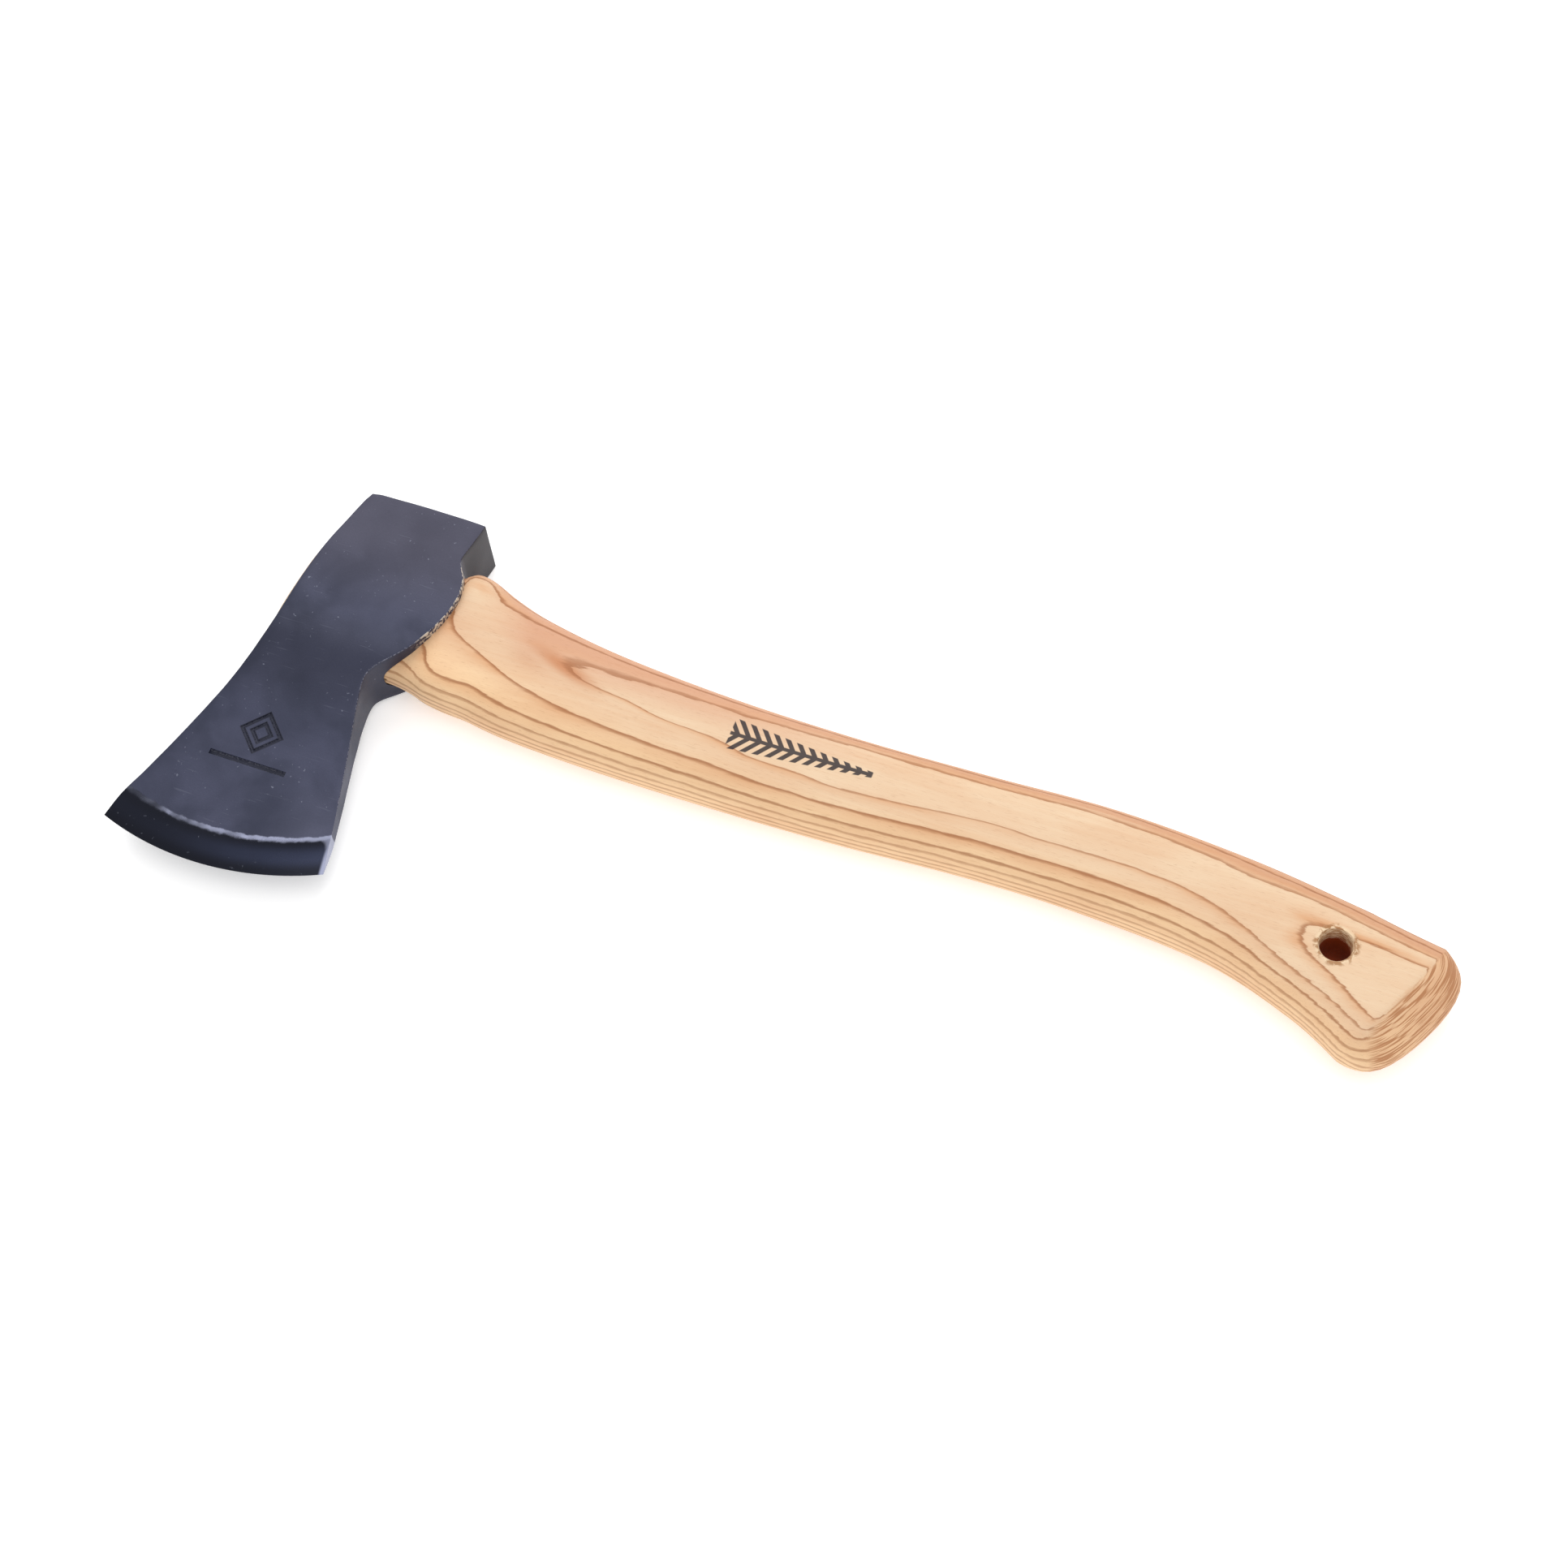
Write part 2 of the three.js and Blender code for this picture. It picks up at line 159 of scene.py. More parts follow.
# Handle: X and Y of its back, X and Y of its belly, and its half thickness, from the tongue to
# the knob.
HANDLE_END = 379.2
HANDLE_STEPS = 7
HANDLE_RUN = (
    (TONGUE_END + TONGUE_HALF * TONGUE_SLOPE, TONGUE_HALF,
     TONGUE_END - TONGUE_HALF * TONGUE_SLOPE, -TONGUE_HALF, 8.9),
    (7.0, TONGUE_HALF, 5.0, -TONGUE_HALF, 8.8),
    (16.0, TONGUE_HALF, 15.0, -TONGUE_HALF, 8.6),
    (26.0, TONGUE_HALF, 25.0, -TONGUE_HALF, 8.38),
    (35.4, TONGUE_HALF, 34.0, -TONGUE_HALF, 8.15),
    (47.8, TONGUE_HALF, 39.0, -TONGUE_HALF, 7.93),
    (50.0, 21.4, 46.5, -21.4, 8.6),
    (54.0, 22.3, 52.5, -22.7, 9.7),
    (64.0, 19.9, 64.0, -24.3, 10.1),
    (80.0, 15.0, 80.0, -26.5, 10.3),
    (107.0, 10.4, 107.0, -27.7, 10.6),
    (146.0, 7.4, 146.0, -27.9, 10.5),
    (188.0, 6.7, 188.0, -27.0, 10.3),
    (HANDLE_END - 150.0, 7.7, HANDLE_END - 149.0, -24.6, 10.2),
    (HANDLE_END - 110.0, 9.1, HANDLE_END - 112.0, -24.5, 10.4),
    (HANDLE_END - 68.0, 6.4, HANDLE_END - 72.0, -27.8, 10.8),
    (HANDLE_END - 34.0, 1.6, HANDLE_END - 44.0, -36.5, 11.3),
    (HANDLE_END - 8.0, -2.6, HANDLE_END - 29.0, -44.4, 11.7),
)
# Middle of the handle's width at places along it, which the growth rings follow: (X, Y).
MIDDLE_LINE = (
    (0.0, 0.0), (46.0, -0.2), (64.0, -2.2), (80.0, -5.7), (107.0, -8.7), (146.0, -10.2),
    (188.0, -10.1), (229.0, -8.5), (268.0, -7.8), (309.0, -10.8), (340.0, -17.5), (365.0, -25.0),
    (380.0, -30.0),
)

# How far the layers of the wood dip below the flat of the board along the handle: (X, dip).
RING_DIP = (
    (0.0, -1.2), (53.0, -1.2), (62.0, -1.15), (72.0, -1.05), (84.0, -0.85), (100.0, -0.78),
    (112.0, -0.72), (120.0, -0.62), (130.0, -0.5), (142.0, -0.4), (150.0, -0.28), (160.0, -0.08),
    (172.0, 0.0), (185.0, 0.12), (205.0, 0.15), (230.0, 0.05), (252.0, 0.0), (276.0, -0.25),
    (292.0, -0.38), (313.0, -0.44), (322.0, -0.25), (330.0, -0.1), (340.0, -0.09), (400.0, -0.07),
)

CURVE_LENGTH = 400.0  # the range of X that the two curves above span
TOP_LAYER = 11.0  # height of the topmost layer of the wood
WEDGE_RINGS = 1.4  # spacing of the rings in the wooden wedge

OVAL_SQUARENESS = 0.6  # of a corner's profile: 0.5 is a quarter circle
OVAL_SEGMENTS = 24

# Printed sprig on the grip: its middle, half length, spacing of needles, and how far they reach.
SPRIG_CENTRE = (173.0, 2.6)
SPRIG_HALF = 23.0
NEEDLE_PITCH = 3.6
NEEDLE_LEAN = 0.8
NEEDLE_REACH = 3.3

# Flushed spot near the head: its middle, half length, half width and slant.
BLUSH_CENTRE = (93.0, 4.6)
BLUSH_HALF = (15.0, 3.6)
BLUSH_SLANT = 0.22

# Floor, lights and camera, with places and sizes in metres in the frame.
FLOOR_SIZE, FLOOR_DROP = 30.0, 0.0003
FLOOR_GREY, FLOOR_GLOW, SKY_GLOW = 0.92, 0.4, 0.62
SOFTBOXES = (
    ("far_softbox", (-0.5, 1.1, 1.2), 1.4, 11.0),
    ("overhead_softbox", (0.3, -0.2, 1.6), 1.2, 7.0),
)  # (name, place, size, power)
CAMERA_LENS = 65.22
CAMERA_PLACE = (0.17424, -0.35523, 0.77668)
CAMERA_RIGHT = (0.9343, 0.3533, -0.0500)
CAMERA_BACK = (0.2089, -0.4278, 0.8794)


def linear(r, g, b):
    """A colour given in 0 to 255 display values, as the linear values that the shaders use."""
    def channel(c):
        c /= 255.0
        return c / 12.92 if c <= 0.04045 else ((c + 0.055) / 1.055) ** 2.4
    return channel(r), channel(g), channel(b)


# Tints laid over the colours of the settings.
NECK_SHADE = linear(28, 30, 44)
HEEL_LIGHT = linear(92, 94, 116)
SKIN_GRAIN = linear(26, 28, 40)
SKIN_FLECK = linear(140, 144, 162)
SCRATCH = linear(120, 124, 140)
# Wear with a painted highlight along the rounded edges of the head.
EDGE_WEAR_AND_HIGHLIGHT = linear(150, 152, 168)
# Painted shade in the recess of the struck mark.
MARK_SHADE = linear(14, 14, 20)
LOBE_SPECKLE = linear(214, 204, 190)
WALL_SHADE = linear(44, 40, 42)
GRIND_SHEEN = linear(62, 68, 92)
GRIND_FLECK = linear(140, 144, 160)
BACK_WOOD = linear(216, 166, 132)
BELLY_WOOD = linear(254, 217, 172)
BACK_TINT = linear(220, 168, 138)
BLUSH = linear(206, 140, 98)
END_GRAIN = linear(242, 196, 152)
END_LINE = linear(184, 122, 78)
TORN_DARK = linear(170, 120, 76)
TORN_LIGHT = linear(242, 216, 180)
# Painted shade deep in the lanyard hole.
BORE_SHADE = linear(146, 58, 4)
SAWN_END = linear(226, 206, 176)
WEDGE_FLUSH = linear(190, 146, 98)
WEDGE_PORE = linear(150, 106, 68)
RING_GRAIN = linear(104, 106, 112)


# ---- Settings a user would change ----


def colour_setting(name, description, value):
    return bpy.props.FloatVectorProperty(
        name=name, description=description, subtype="COLOR", size=3, min=0.0, max=1.0,
        default=value)


def length_setting(name, description, millimetres, top):
    return bpy.props.FloatProperty(
        name=name, description=description, default=millimetres * MM, min=0.0, max=top * MM,
        unit="LENGTH", subtype="DISTANCE", precision=5)


class HatchetHeadSettings(bpy.types.PropertyGroup):
    """Shape and finish of the forged head"""
    edge_round: length_setting("Edge rounding", "Radius of the forged edges", 0.7, 2.0)
    hammer_wave: length_setting("Hammer wave", "Unevenness left by the forging dies", 0.35, 1.0)
    stamp_depth: length_setting("Stamp depth", "Depth of the struck mark on the blade", 0.45, 0.8)
    skin: colour_setting("Skin", "Blue-grey lacquered forging skin", linear(50, 54, 75))
    skin_light: colour_setting("Light skin", "Lighter clouds in the skin", linear(68, 71, 94))
    poll_skin: colour_setting("Poll skin", "Skin towards the poll", linear(78, 76, 92))
    # The grind's colour is kept dark as a painted dark reflection of the surroundings.
    grind: colour_setting("Grind", "Polished steel above the cutting edge", linear(34, 36, 46))
    # A painted highlight along the shoulder of the grind.
    shoulder_highlight: colour_setting(
        "Shoulder highlight", "Bright line along the shoulder of the grind", linear(150, 154, 178))


class HatchetHandleSettings(bpy.types.PropertyGroup):
    """Shape and finish of the handle"""
    ring_spacing: length_setting(
        "Ring spacing", "Distance from one growth ring to the next", 2.35, 6.0)
    hole_wear: length_setting(
        "Hole wear", "How far the rim of the lanyard hole is worn open", 1.0, 2.0)
    pale: colour_setting("Pale wood", "Early wood of the handle", linear(240, 211, 177))
    warm: colour_setting(
        "Warm wood", "Warmer clouds and streaks in the wood", linear(222, 166, 122))
    flush: colour_setting("Flush", "Orange flush along the growth rings", linear(220, 158, 108))
    ring: colour_setting("Ring", "Late wood that draws the growth rings", linear(160, 98, 56))
    ink: colour_setting("Ink", "Printed mark on the handle", linear(38, 34, 44))


class HatchetWedgeSettings(bpy.types.PropertyGroup):
    """Finish of the two wedges"""
    wedge_wood: colour_setting("Wedge wood", "Sawn hardwood wedge", linear(214, 178, 130))
    ring_steel: colour_setting("Ring steel", "Turned steel ring", linear(150, 152, 158))


# ---- Modelling by hand ----


def at(x, y, z=0.0):
    """A place given in millimetres from the maker's zero."""
    return ZERO + Vector((x, y, z)) * MM


def smooth_run(rows, steps):
    """The rows with more between them, on a curve through all of them."""
    run = []
    for i in range(len(rows) - 1):
        a, b, c, d = (rows[min(max(i + k, 0), len(rows) - 1)] for k in (-1, 0, 1, 2))
        for step in range(steps):
            t = step / steps
            run.append(tuple(
                0.5 * (2 * q + (r - p) * t + (2 * p - 5 * q + 4 * r - s) * t * t
                       + (3 * q - p - 3 * r + s) * t ** 3)
                for p, q, r, s in zip(a, b, c, d)))
    return run + [tuple(rows[-1])]


def at_place(keys, place):
    """The value at a place on a curve through (place, value) keys that run downwards."""
    for i in range(len(keys) - 1):
        (x1, y1), (x2, y2) = keys[i], keys[i + 1]
        if x1 >= place >= x2:
            before, after = keys[max(i - 1, 0)], keys[min(i + 2, len(keys) - 1)]
            m1 = (y2 - before[1]) / (x2 - before[0])
            m2 = (after[1] - y1) / (after[0] - x1)
            h = x2 - x1
            t = (place - x1) / h
            return ((2 * t ** 3 - 3 * t * t + 1) * y1 + (t ** 3 - 2 * t * t + t) * h * m1
                    + (3 * t * t - 2 * t ** 3) * y2 + (t ** 3 - t * t) * h * m2)
    raise ValueError(f"{place} is off the curve")


def clear_selection():
    if bpy.context.object and bpy.context.object.mode != "OBJECT":
        bpy.ops.object.mode_set(mode="OBJECT")
    bpy.ops.object.select_all(action="DESELECT")


def name_new(name):
    """Names the primitive just added, and opens it for editing with all of it selected."""
    piece = bpy.context.object
    piece.name = piece.data.name = name
    bpy.ops.object.mode_set(mode="EDIT")
    bpy.ops.mesh.select_all(action="SELECT")
    return piece


def select_vertices(piece, wanted):
    """Selects the vertices whose place passes a test."""
    bpy.ops.mesh.select_mode(type="VERT")
    mesh = bmesh.from_edit_mesh(piece.data)
    for vertex in mesh.verts:
        vertex.select_set(wanted(piece.matrix_world @ vertex.co))
    mesh.select_flush_mode()
    bmesh.update_edit_mesh(piece.data)


def close_up(piece):
    """Leaves edit mode with merged doubles, faces pointing out and the place in the mesh."""
    bpy.ops.mesh.select_all(action="SELECT")
    bpy.ops.mesh.remove_doubles(threshold=0.00001)
    bpy.ops.mesh.normals_make_consistent(inside=False)
    bpy.ops.object.mode_set(mode="OBJECT")
    bpy.ops.object.transform_apply(location=True, rotation=True, scale=True)


def draw_to(move, centre, scale):
    """Extrudes the selected end by a move, and resizes it about its new centre."""
    bpy.ops.mesh.extrude_region_move(TRANSFORM_OT_translate={"value": move})
    bpy.ops.transform.resize(value=scale, orient_type="GLOBAL", center_override=centre)


def draw_out(rings):
    """Draws the selected end through rings: centre, turn about Z, half width, half thickness."""
    here = rings[0]
    for ring in rings[1:]:
        bpy.ops.mesh.extrude_region_move(TRANSFORM_OT_translate={"value": ring[0] - here[0]})
        turned = here[1] or ring[1]
        if turned:
            turn_selection(-here[1], ring[0])
        bpy.ops.transform.resize(
            value=(1.0, ring[2] / here[2], ring[3] / here[3]), orient_type="GLOBAL",
            center_override=ring[0])
        if turned:
            turn_selection(ring[1], ring[0])
        here = ring


def nudge(move, falloff, reach):
    """Moves the selection, and draws along what lies within its reach."""
    bpy.ops.transform.translate(
        value=move, use_proportional_edit=True, proportional_edit_falloff=falloff,
        proportional_size=reach * MM)


def turn_selection(angle, centre):
    """Turns the selection anticlockwise about Z."""
    bpy.ops.transform.rotate(
        value=-angle, orient_axis="Z", orient_type="GLOBAL", center_override=centre)


def oval_end(name, centre, turn, half_width, half_thickness):
    """A filled squarish oval across the X axis, ready to be drawn out."""
    clear_selection()
    bpy.ops.mesh.primitive_plane_add(size=2.0, location=centre, rotation=(0.0, math.pi / 2, 0.0))
    piece = name_new(name)
    bpy.ops.mesh.bevel(
        offset=0.9999, segments=OVAL_SEGMENTS, profile=OVAL_SQUARENESS, affect="VERTICES")
    bpy.ops.mesh.remove_doubles(threshold=0.001)
    bpy.ops.transform.resize(
        value=(1.0, half_width * MM, half_thickness * MM), orient_type="GLOBAL",
        center_override=centre)
    if turn:
        turn_selection(turn, centre)
    return piece


def turned_cutter(name, centre, rows, radius, sides):
    """A solid turned about Z from (Z, share of the radius) rows that run upwards."""
    low, share = rows[0]
    clear_selection()
    bpy.ops.mesh.primitive_circle_add(
        vertices=sides, radius=radius * share * MM, fill_type="NGON", location=at(*centre, low))
    cutter = name_new(name)
    for (z1, r1), (z2, r2) in zip(rows, rows[1:]):
        draw_to((0.0, 0.0, (z2 - z1) * MM), at(*centre, z2), (r2 / r1, r2 / r1, 1.0))
    close_up(cutter)
    return cutter


def pick(piece):
    """Makes the piece the active one and the only one selected."""
    clear_selection()
    piece.select_set(True)
    bpy.context.view_layer.objects.active = piece


def cut(piece, cutter, operation="DIFFERENCE"):
    """Cuts the piece with a cutter, which is used up."""
    pick(piece)
    boolean = piece.modifiers.new("cut", "BOOLEAN")
    boolean.operation = operation
    boolean.solver = "EXACT"
    boolean.object = cutter
    bpy.ops.object.modifier_apply(modifier=boolean.name)
    bpy.data.objects.remove(cutter, do_unlink=True)


def hand_over(piece, node, material):
    """Puts the piece on the hatchet in place of its frame node."""
    piece.data.materials.append(material)
    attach(piece, "root")
    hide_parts(node)


# ---- Head ----


def forge_blank(head):
    """The head drawn out from the poll to past the edge, before any hole or grind."""
    rows = []
    y = TOP_SIDE[0][0]
    while y > BLANK_END:
        top, under = at_place(TOP_SIDE, y), at_place(UNDERSIDE, y)
        rows.append((at((top + under) / 2, y), (under - top) / 2, at_place(CHEEK, y)))
        y -= FINE_STEP if y > FINE_ABOVE else COARSE_STEP
    centre, half_width, half_thickness = rows[0]
    clear_selection()
    bpy.ops.mesh.primitive_grid_add(
        x_subdivisions=BLANK_COLUMNS, y_subdivisions=BLANK_LAYERS, size=2.0, location=centre,
        rotation=(-math.pi / 2, 0.0, 0.0))
    blank = name_new("forged_head")
    bpy.ops.transform.resize(
        value=(half_width * MM, 1.0, half_thickness * MM), center_override=centre)
    for (c1, w1, t1), (c2, w2, t2) in zip(rows, rows[1:]):
        draw_to(c2 - c1, c2, (w2 / w1, 1.0, t2 / t1))
    crown_poll(blank)
    close_up(blank)
    ease_edges(blank, head.edge_round)
    hammer(blank, head.hammer_wave)
    return blank


def crown_poll(blank):
    """Bulges the middle of the striking face a little, and eases its two ends."""
    face = at(0.0, TOP_SIDE[0][0])
    for x, reach, falloff, push_x, push_y in POLL_CROWN:
        middle = at(x, 0.0)
        select_vertices(
            blank, lambda v: abs(v.x - middle.x) < POLL_COLUMN * MM and v.y > face.y - 0.1 * MM)
        nudge((push_x * MM, push_y * MM, 0.0), falloff, reach)


def ease_edges(piece, width):
    """Rounds the edges where the faces meet sharply."""
    pick(piece)
    bevel = piece.modifiers.new("ease", "BEVEL")
    bevel.width = width
    bevel.segments = 3
    bevel.limit_method = "ANGLE"
    bevel.angle_limit = math.radians(EASED_ANGLE)
    bpy.ops.object.modifier_apply(modifier=bevel.name)


def hammer(piece, wave):
    """Leaves the faces and rims a little uneven, as a die forging is."""
    clouds = bpy.data.textures.new("hammer_wave", "CLOUDS")
    clouds.noise_scale = HAMMER_CLOUD * MM
    clouds.noise_depth = 1
    displace = piece.modifiers.new("hammer", "DISPLACE")
    displace.texture = clouds
    displace.texture_coords = "LOCAL"
    displace.strength = wave
    displace.mid_level = HAMMER_LEVEL
    bpy.ops.object.modifier_apply(modifier=displace.name)


def eye_cutter():
    """The tapered oval of the eye, from above the head to below it."""
    rings = []
    for x in EYE_STATIONS:
        share = min(max(x / EYE_MOUTH, 0.0), 1.0)
        half_width = EYE_HALF_WIDTH_TOP + (EYE_HALF_WIDTH_MOUTH - EYE_HALF_WIDTH_TOP) * share
        rings.append((at(x, 0.0), 0.0, EYE_HALF_LENGTH, half_width))
    cutter = oval_end("eye_cutter", *rings[0])
    draw_out(rings)
    close_up(cutter)
    return cutter


def grind_cutter():
    """A wide disc whose rim is the cutting edge and whose convex slopes are the grind."""
    slope = []
    for i in range(GRIND_STEPS + 1):
        t = i / GRIND_STEPS
        slope.append((EDGE_HALF + GRIND_HALF * (1 - (1 - t) ** GRIND_CONVEX),
                      EDGE_RADIUS - GRIND_WIDTH * t))
    slope += [(half, EDGE_RADIUS - up) for up, half in ABOVE_GRIND]
    rows = [(-half, radius) for half, radius in reversed(slope)] + slope
    return turned_cutter("grind_cutter", EDGE_CENTRE, rows, 1.0, EDGE_SIDES)


def mark_cutter(depth):
    """Two plain lozenges, one in the other, with a straight bar below them."""
    x, y = MARK_CENTRE
    lean = math.atan((at_place(CHEEK, y + 5) - at_place(CHEEK, y - 5)) / 10.0)
    middle = at(x, y, at_place(CHEEK, y) + MARK_LIFT - depth / MM)
    clear_selection()
    cutter = None
    for reach, line in zip(LOZENGES, LOZENGE_LINES):
        bpy.ops.mesh.primitive_torus_add(
            major_segments=4, minor_segments=12, major_radius=reach * MM, minor_radius=line * MM,
            location=middle)
        cutter = cutter or name_new("mark_cutter")
    bpy.ops.mesh.primitive_cylinder_add(
        vertices=32, radius=BAR_LINE * MM, depth=2 * BAR_HALF * MM,
        location=middle + Vector((0.0, -BAR_BELOW, 0.0)) * MM, rotation=(0.0, math.pi / 2, 0.0))
    bpy.ops.mesh.select_all(action="SELECT")
    bpy.ops.transform.rotate(
        value=-lean, orient_axis="X", orient_type="GLOBAL", center_override=middle)
    close_up(cutter)
    return cutter


class HATCHET_OT_forge_head(bpy.types.Operator):
    """Forges the head, punches its eye, grinds its edge and strikes the mark on the blade"""
    bl_idname = "hatchet.forge_head"
    bl_label = "Forge head"

    def execute(self, context):
        settings = context.scene.hatchet_head
        head = forge_blank(settings)
        cut(head, grind_cutter(), "INTERSECT")
        cut(head, eye_cutter())
        cut(head, mark_cutter(settings.stamp_depth))
        bpy.ops.object.shade_smooth_by_angle(angle=math.radians(HEAD_CREASE))
        hand_over(head, "axe_head", head_material(settings))
        return {"FINISHED"}


# ---- Handle ----


def handle_rings():
    """The rings of the handle from the end of the tongue, and the dome that closes the knob."""
    rings = []
    for back_x, back_y, belly_x, belly_y, thick in smooth_run(HANDLE_RUN, HANDLE_STEPS):
        across = Vector((back_x - belly_x, back_y - belly_y))
        rings.append((at((back_x + belly_x) / 2, (back_y + belly_y) / 2),
                      math.atan2(-across.x, across.y), across.length / 2, thick))
    centre, turn, half, thick = rings[-1]
    outward = Vector((math.cos(turn), math.sin(turn), 0.0))
    for out, wide, deep in KNOB_DOME:
        rings.append((centre + outward * out * MM, turn, half * wide, thick * deep))
    return rings


def crown_knob(handle, last):
    """Bulges the end of the knob from its back corner to its belly corner."""
    centre, turn = last[:2]
    outward = Vector((math.cos(turn), math.sin(turn), 0.0))
    across = Vector((-outward.y, outward.x, 0.0))
    select_vertices(handle, lambda v: abs((v - centre).dot(across)) < KNOB_CREST_HALF * MM
                    and (v - centre).dot(outward) > -KNOB_CREST_DEPTH * MM)
    nudge(outward * KNOB_BULGE * MM, "SPHERE", KNOB_REACH)


def square_shoulder(handle):
    """Leaves the handle fuller and squarer where it comes out of the head, on both sides."""
    for side, lift in SHOULDER_LIFTS:
        spread = math.copysign(SHOULDER_SPREAD * lift, side)
        for face in (1, -1):
            corner = at(SHOULDER_X, side, face * SHOULDER_Z)
            select_vertices(handle, lambda v: (v - corner).length < SHOULDER_CATCH * MM)
            nudge((0.0, spread * MM, face * lift * MM), "SMOOTH", SHOULDER_REACH)


def kerf_cutter():
    """The saw cut in the tongue, which narrows to its floor."""
    middle = at(KERF_CENTRE, 0.0)
    clear_selection()
    bpy.ops.mesh.primitive_cube_add(size=KERF_WIDTH * MM, location=middle)
    cutter = name_new("kerf_cutter")
    bpy.ops.transform.resize(
        value=(KERF_LENGTH / KERF_WIDTH, KERF_BREADTH / KERF_WIDTH, 1.0), center_override=middle)
    select_vertices(cutter, lambda v: v.x > middle.x)
    bpy.ops.transform.resize(
        value=(1.0, 1.0, KERF_TAPER), orient_type="GLOBAL", center_override=at(KERF_FLOOR, 0.0))
    close_up(cutter)
    return cutter


def groove_cutter():
    """Room for the ring wedge, spun about the axis of the eye."""
    middle = at(*GROOVE_CENTRE)
    clear_selection()
    bpy.ops.mesh.primitive_plane_add(size=GROOVE_WIDTH * MM, location=middle)
    cutter = name_new("groove_cutter")
    bpy.ops.transform.resize(value=(GROOVE_LENGTH / GROOVE_WIDTH, 1.0, 1.0), center_override=middle)
    bpy.ops.mesh.spin(
        steps=GROOVE_STEPS, angle=2 * math.pi, center=at(0.0, 0.0), axis=(1.0, 0.0, 0.0))
    close_up(cutter)
    return cutter


def hole_cutter(wear):
    """A bore with a worn, flared rim on each side."""
    open_up = wear / MM / HOLE_RADIUS
    upper = [(HOLE_FLAT + out, 1.0 + share * open_up) for out, share in HOLE_RIM] + [HOLE_CLEAR]
    rows = [(-z, share) for z, share in reversed(upper)] + [(0.0, 1.0)] + upper
    return turned_cutter("hole_cutter", HOLE_CENTRE, rows, HOLE_RADIUS, HOLE_SIDES)


class HATCHET_OT_shape_handle(bpy.types.Operator):
    """Shapes the handle, saws its kerf and bores the lanyard hole"""
    bl_idname = "hatchet.shape_handle"
    bl_label = "Shape handle"

    def execute(self, context):
        settings = context.scene.hatchet_handle
        rings = handle_rings()
        handle = oval_end("hardwood_handle", *rings[0])
        draw_out(rings)
        crown_knob(handle, rings[-1])
        square_shoulder(handle)
        close_up(handle)
        cut(handle, kerf_cutter())
        cut(handle, groove_cutter())
        cut(handle, hole_cutter(settings.hole_wear))
        bpy.ops.object.shade_smooth_by_angle(angle=math.radians(HANDLE_CREASE))
        hand_over(handle, "handle", handle_material(settings))
        return {"FINISHED"}


# ---- Wedges ----


class HATCHET_OT_drive_wedges(bpy.types.Operator):
    """Gives the wooden wedge and the steel ring their finishes"""
    bl_idname = "hatchet.drive_wedges"
    bl_label = "Drive wedges"

    def execute(self, context):
        settings = context.scene.hatchet_wedges
        finishes = {
            "wooden_wedge": wedge_material(settings),
            "ring_wedge": ring_material(settings),
        }
        for node, material in finishes.items():
            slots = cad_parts[node].material_slots
            if not slots:
                raise RuntimeError(node + " has no material slot")
            for slot in slots:
                slot.material = material
        return {"FINISHED"}


# ---- Finishes ----


def new_node(tree, kind, inputs=(), **settings):
    """A node with its settings and its inputs, each a value or the socket that feeds it."""
    made = tree.nodes.new(kind)
    for name, value in settings.items():
        setattr(made, name, value)
    pairs = inputs.items() if isinstance(inputs, dict) else enumerate(inputs)
    for key, value in pairs:
        if isinstance(value, bpy.types.NodeSocket):
            tree.links.new(value, made.inputs[key])
        else:
            made.inputs[key].default_value = value
    return made


def sums(tree, operation, *values, clamp=False):
    return new_node(
        tree, "ShaderNodeMath", values, operation=operation, use_clamp=clamp).outputs[0]


def plus(tree, a, b):
    return sums(tree, "ADD", a, b)


def minus(tree, a, b):
    return sums(tree, "SUBTRACT", a, b)


def times(tree, a, b):
    return sums(tree, "MULTIPLY", a, b)


def over(tree, a, b):
    return sums(tree, "DIVIDE", a, b)


def most(tree, a, b):
    return sums(tree, "MAXIMUM", a, b)


def size_of(tree, value):
    return sums(tree, "ABSOLUTE", value)


def times_plus(tree, a, b, c):
    return sums(tree, "MULTIPLY_ADD", a, b, c)


def ramp(tree, value, low, high, out_low=0.0, out_high=1.0):
    """Eases from one value to another while the input goes from low to high."""
    return new_node(
        tree, "ShaderNodeMapRange", {0: value, 1: low, 2: high, 3: out_low, 4: out_high},
        interpolation_type="SMOOTHSTEP").outputs[0]


def band(tree, value, rise, fall):
    """Where a value lies between two limits, each a pair that it eases through."""
    return times(tree, ramp(tree, value, *rise), ramp(tree, value, *fall))


def blend(tree, factor, a, b):
    """One colour over another by a factor."""
    colours = [value if isinstance(value, bpy.types.NodeSocket) else (*value[:3], 1.0)
               for value in (a, b)]
    return new_node(
        tree, "ShaderNodeMix", {0: factor, 6: colours[0], 7: colours[1]}, data_type="RGBA",
        blend_type="MIX", clamp_factor=True).outputs[2]


def stain(tree, colour, mask, strength, tint):
    """A colour with a tint laid over it where the mask is."""
    return blend(tree, times(tree, mask, strength), colour, tint)


def noise(tree, vector, scale, detail=2.0, roughness=0.5, distortion=0.0):
    return new_node(
        tree, "ShaderNodeTexNoise",
        {"Vector": vector, "Scale": scale, "Detail": detail, "Roughness": roughness,
         "Distortion": distortion}).outputs["Fac"]


def stretch(tree, vector, x, y, z):
    return new_node(
        tree, "ShaderNodeVectorMath", (vector, (x, y, z)), operation="MULTIPLY").outputs[0]


def grained(tree, place, along, across, detail=2.0, roughness=0.5):
    """Noise drawn out along the grain of the wood."""
    return noise(tree, stretch(tree, place, along, across, across), 1.0, detail, roughness)


def parts_of(tree, vector):
    return new_node(tree, "ShaderNodeSeparateXYZ", (vector,)).outputs


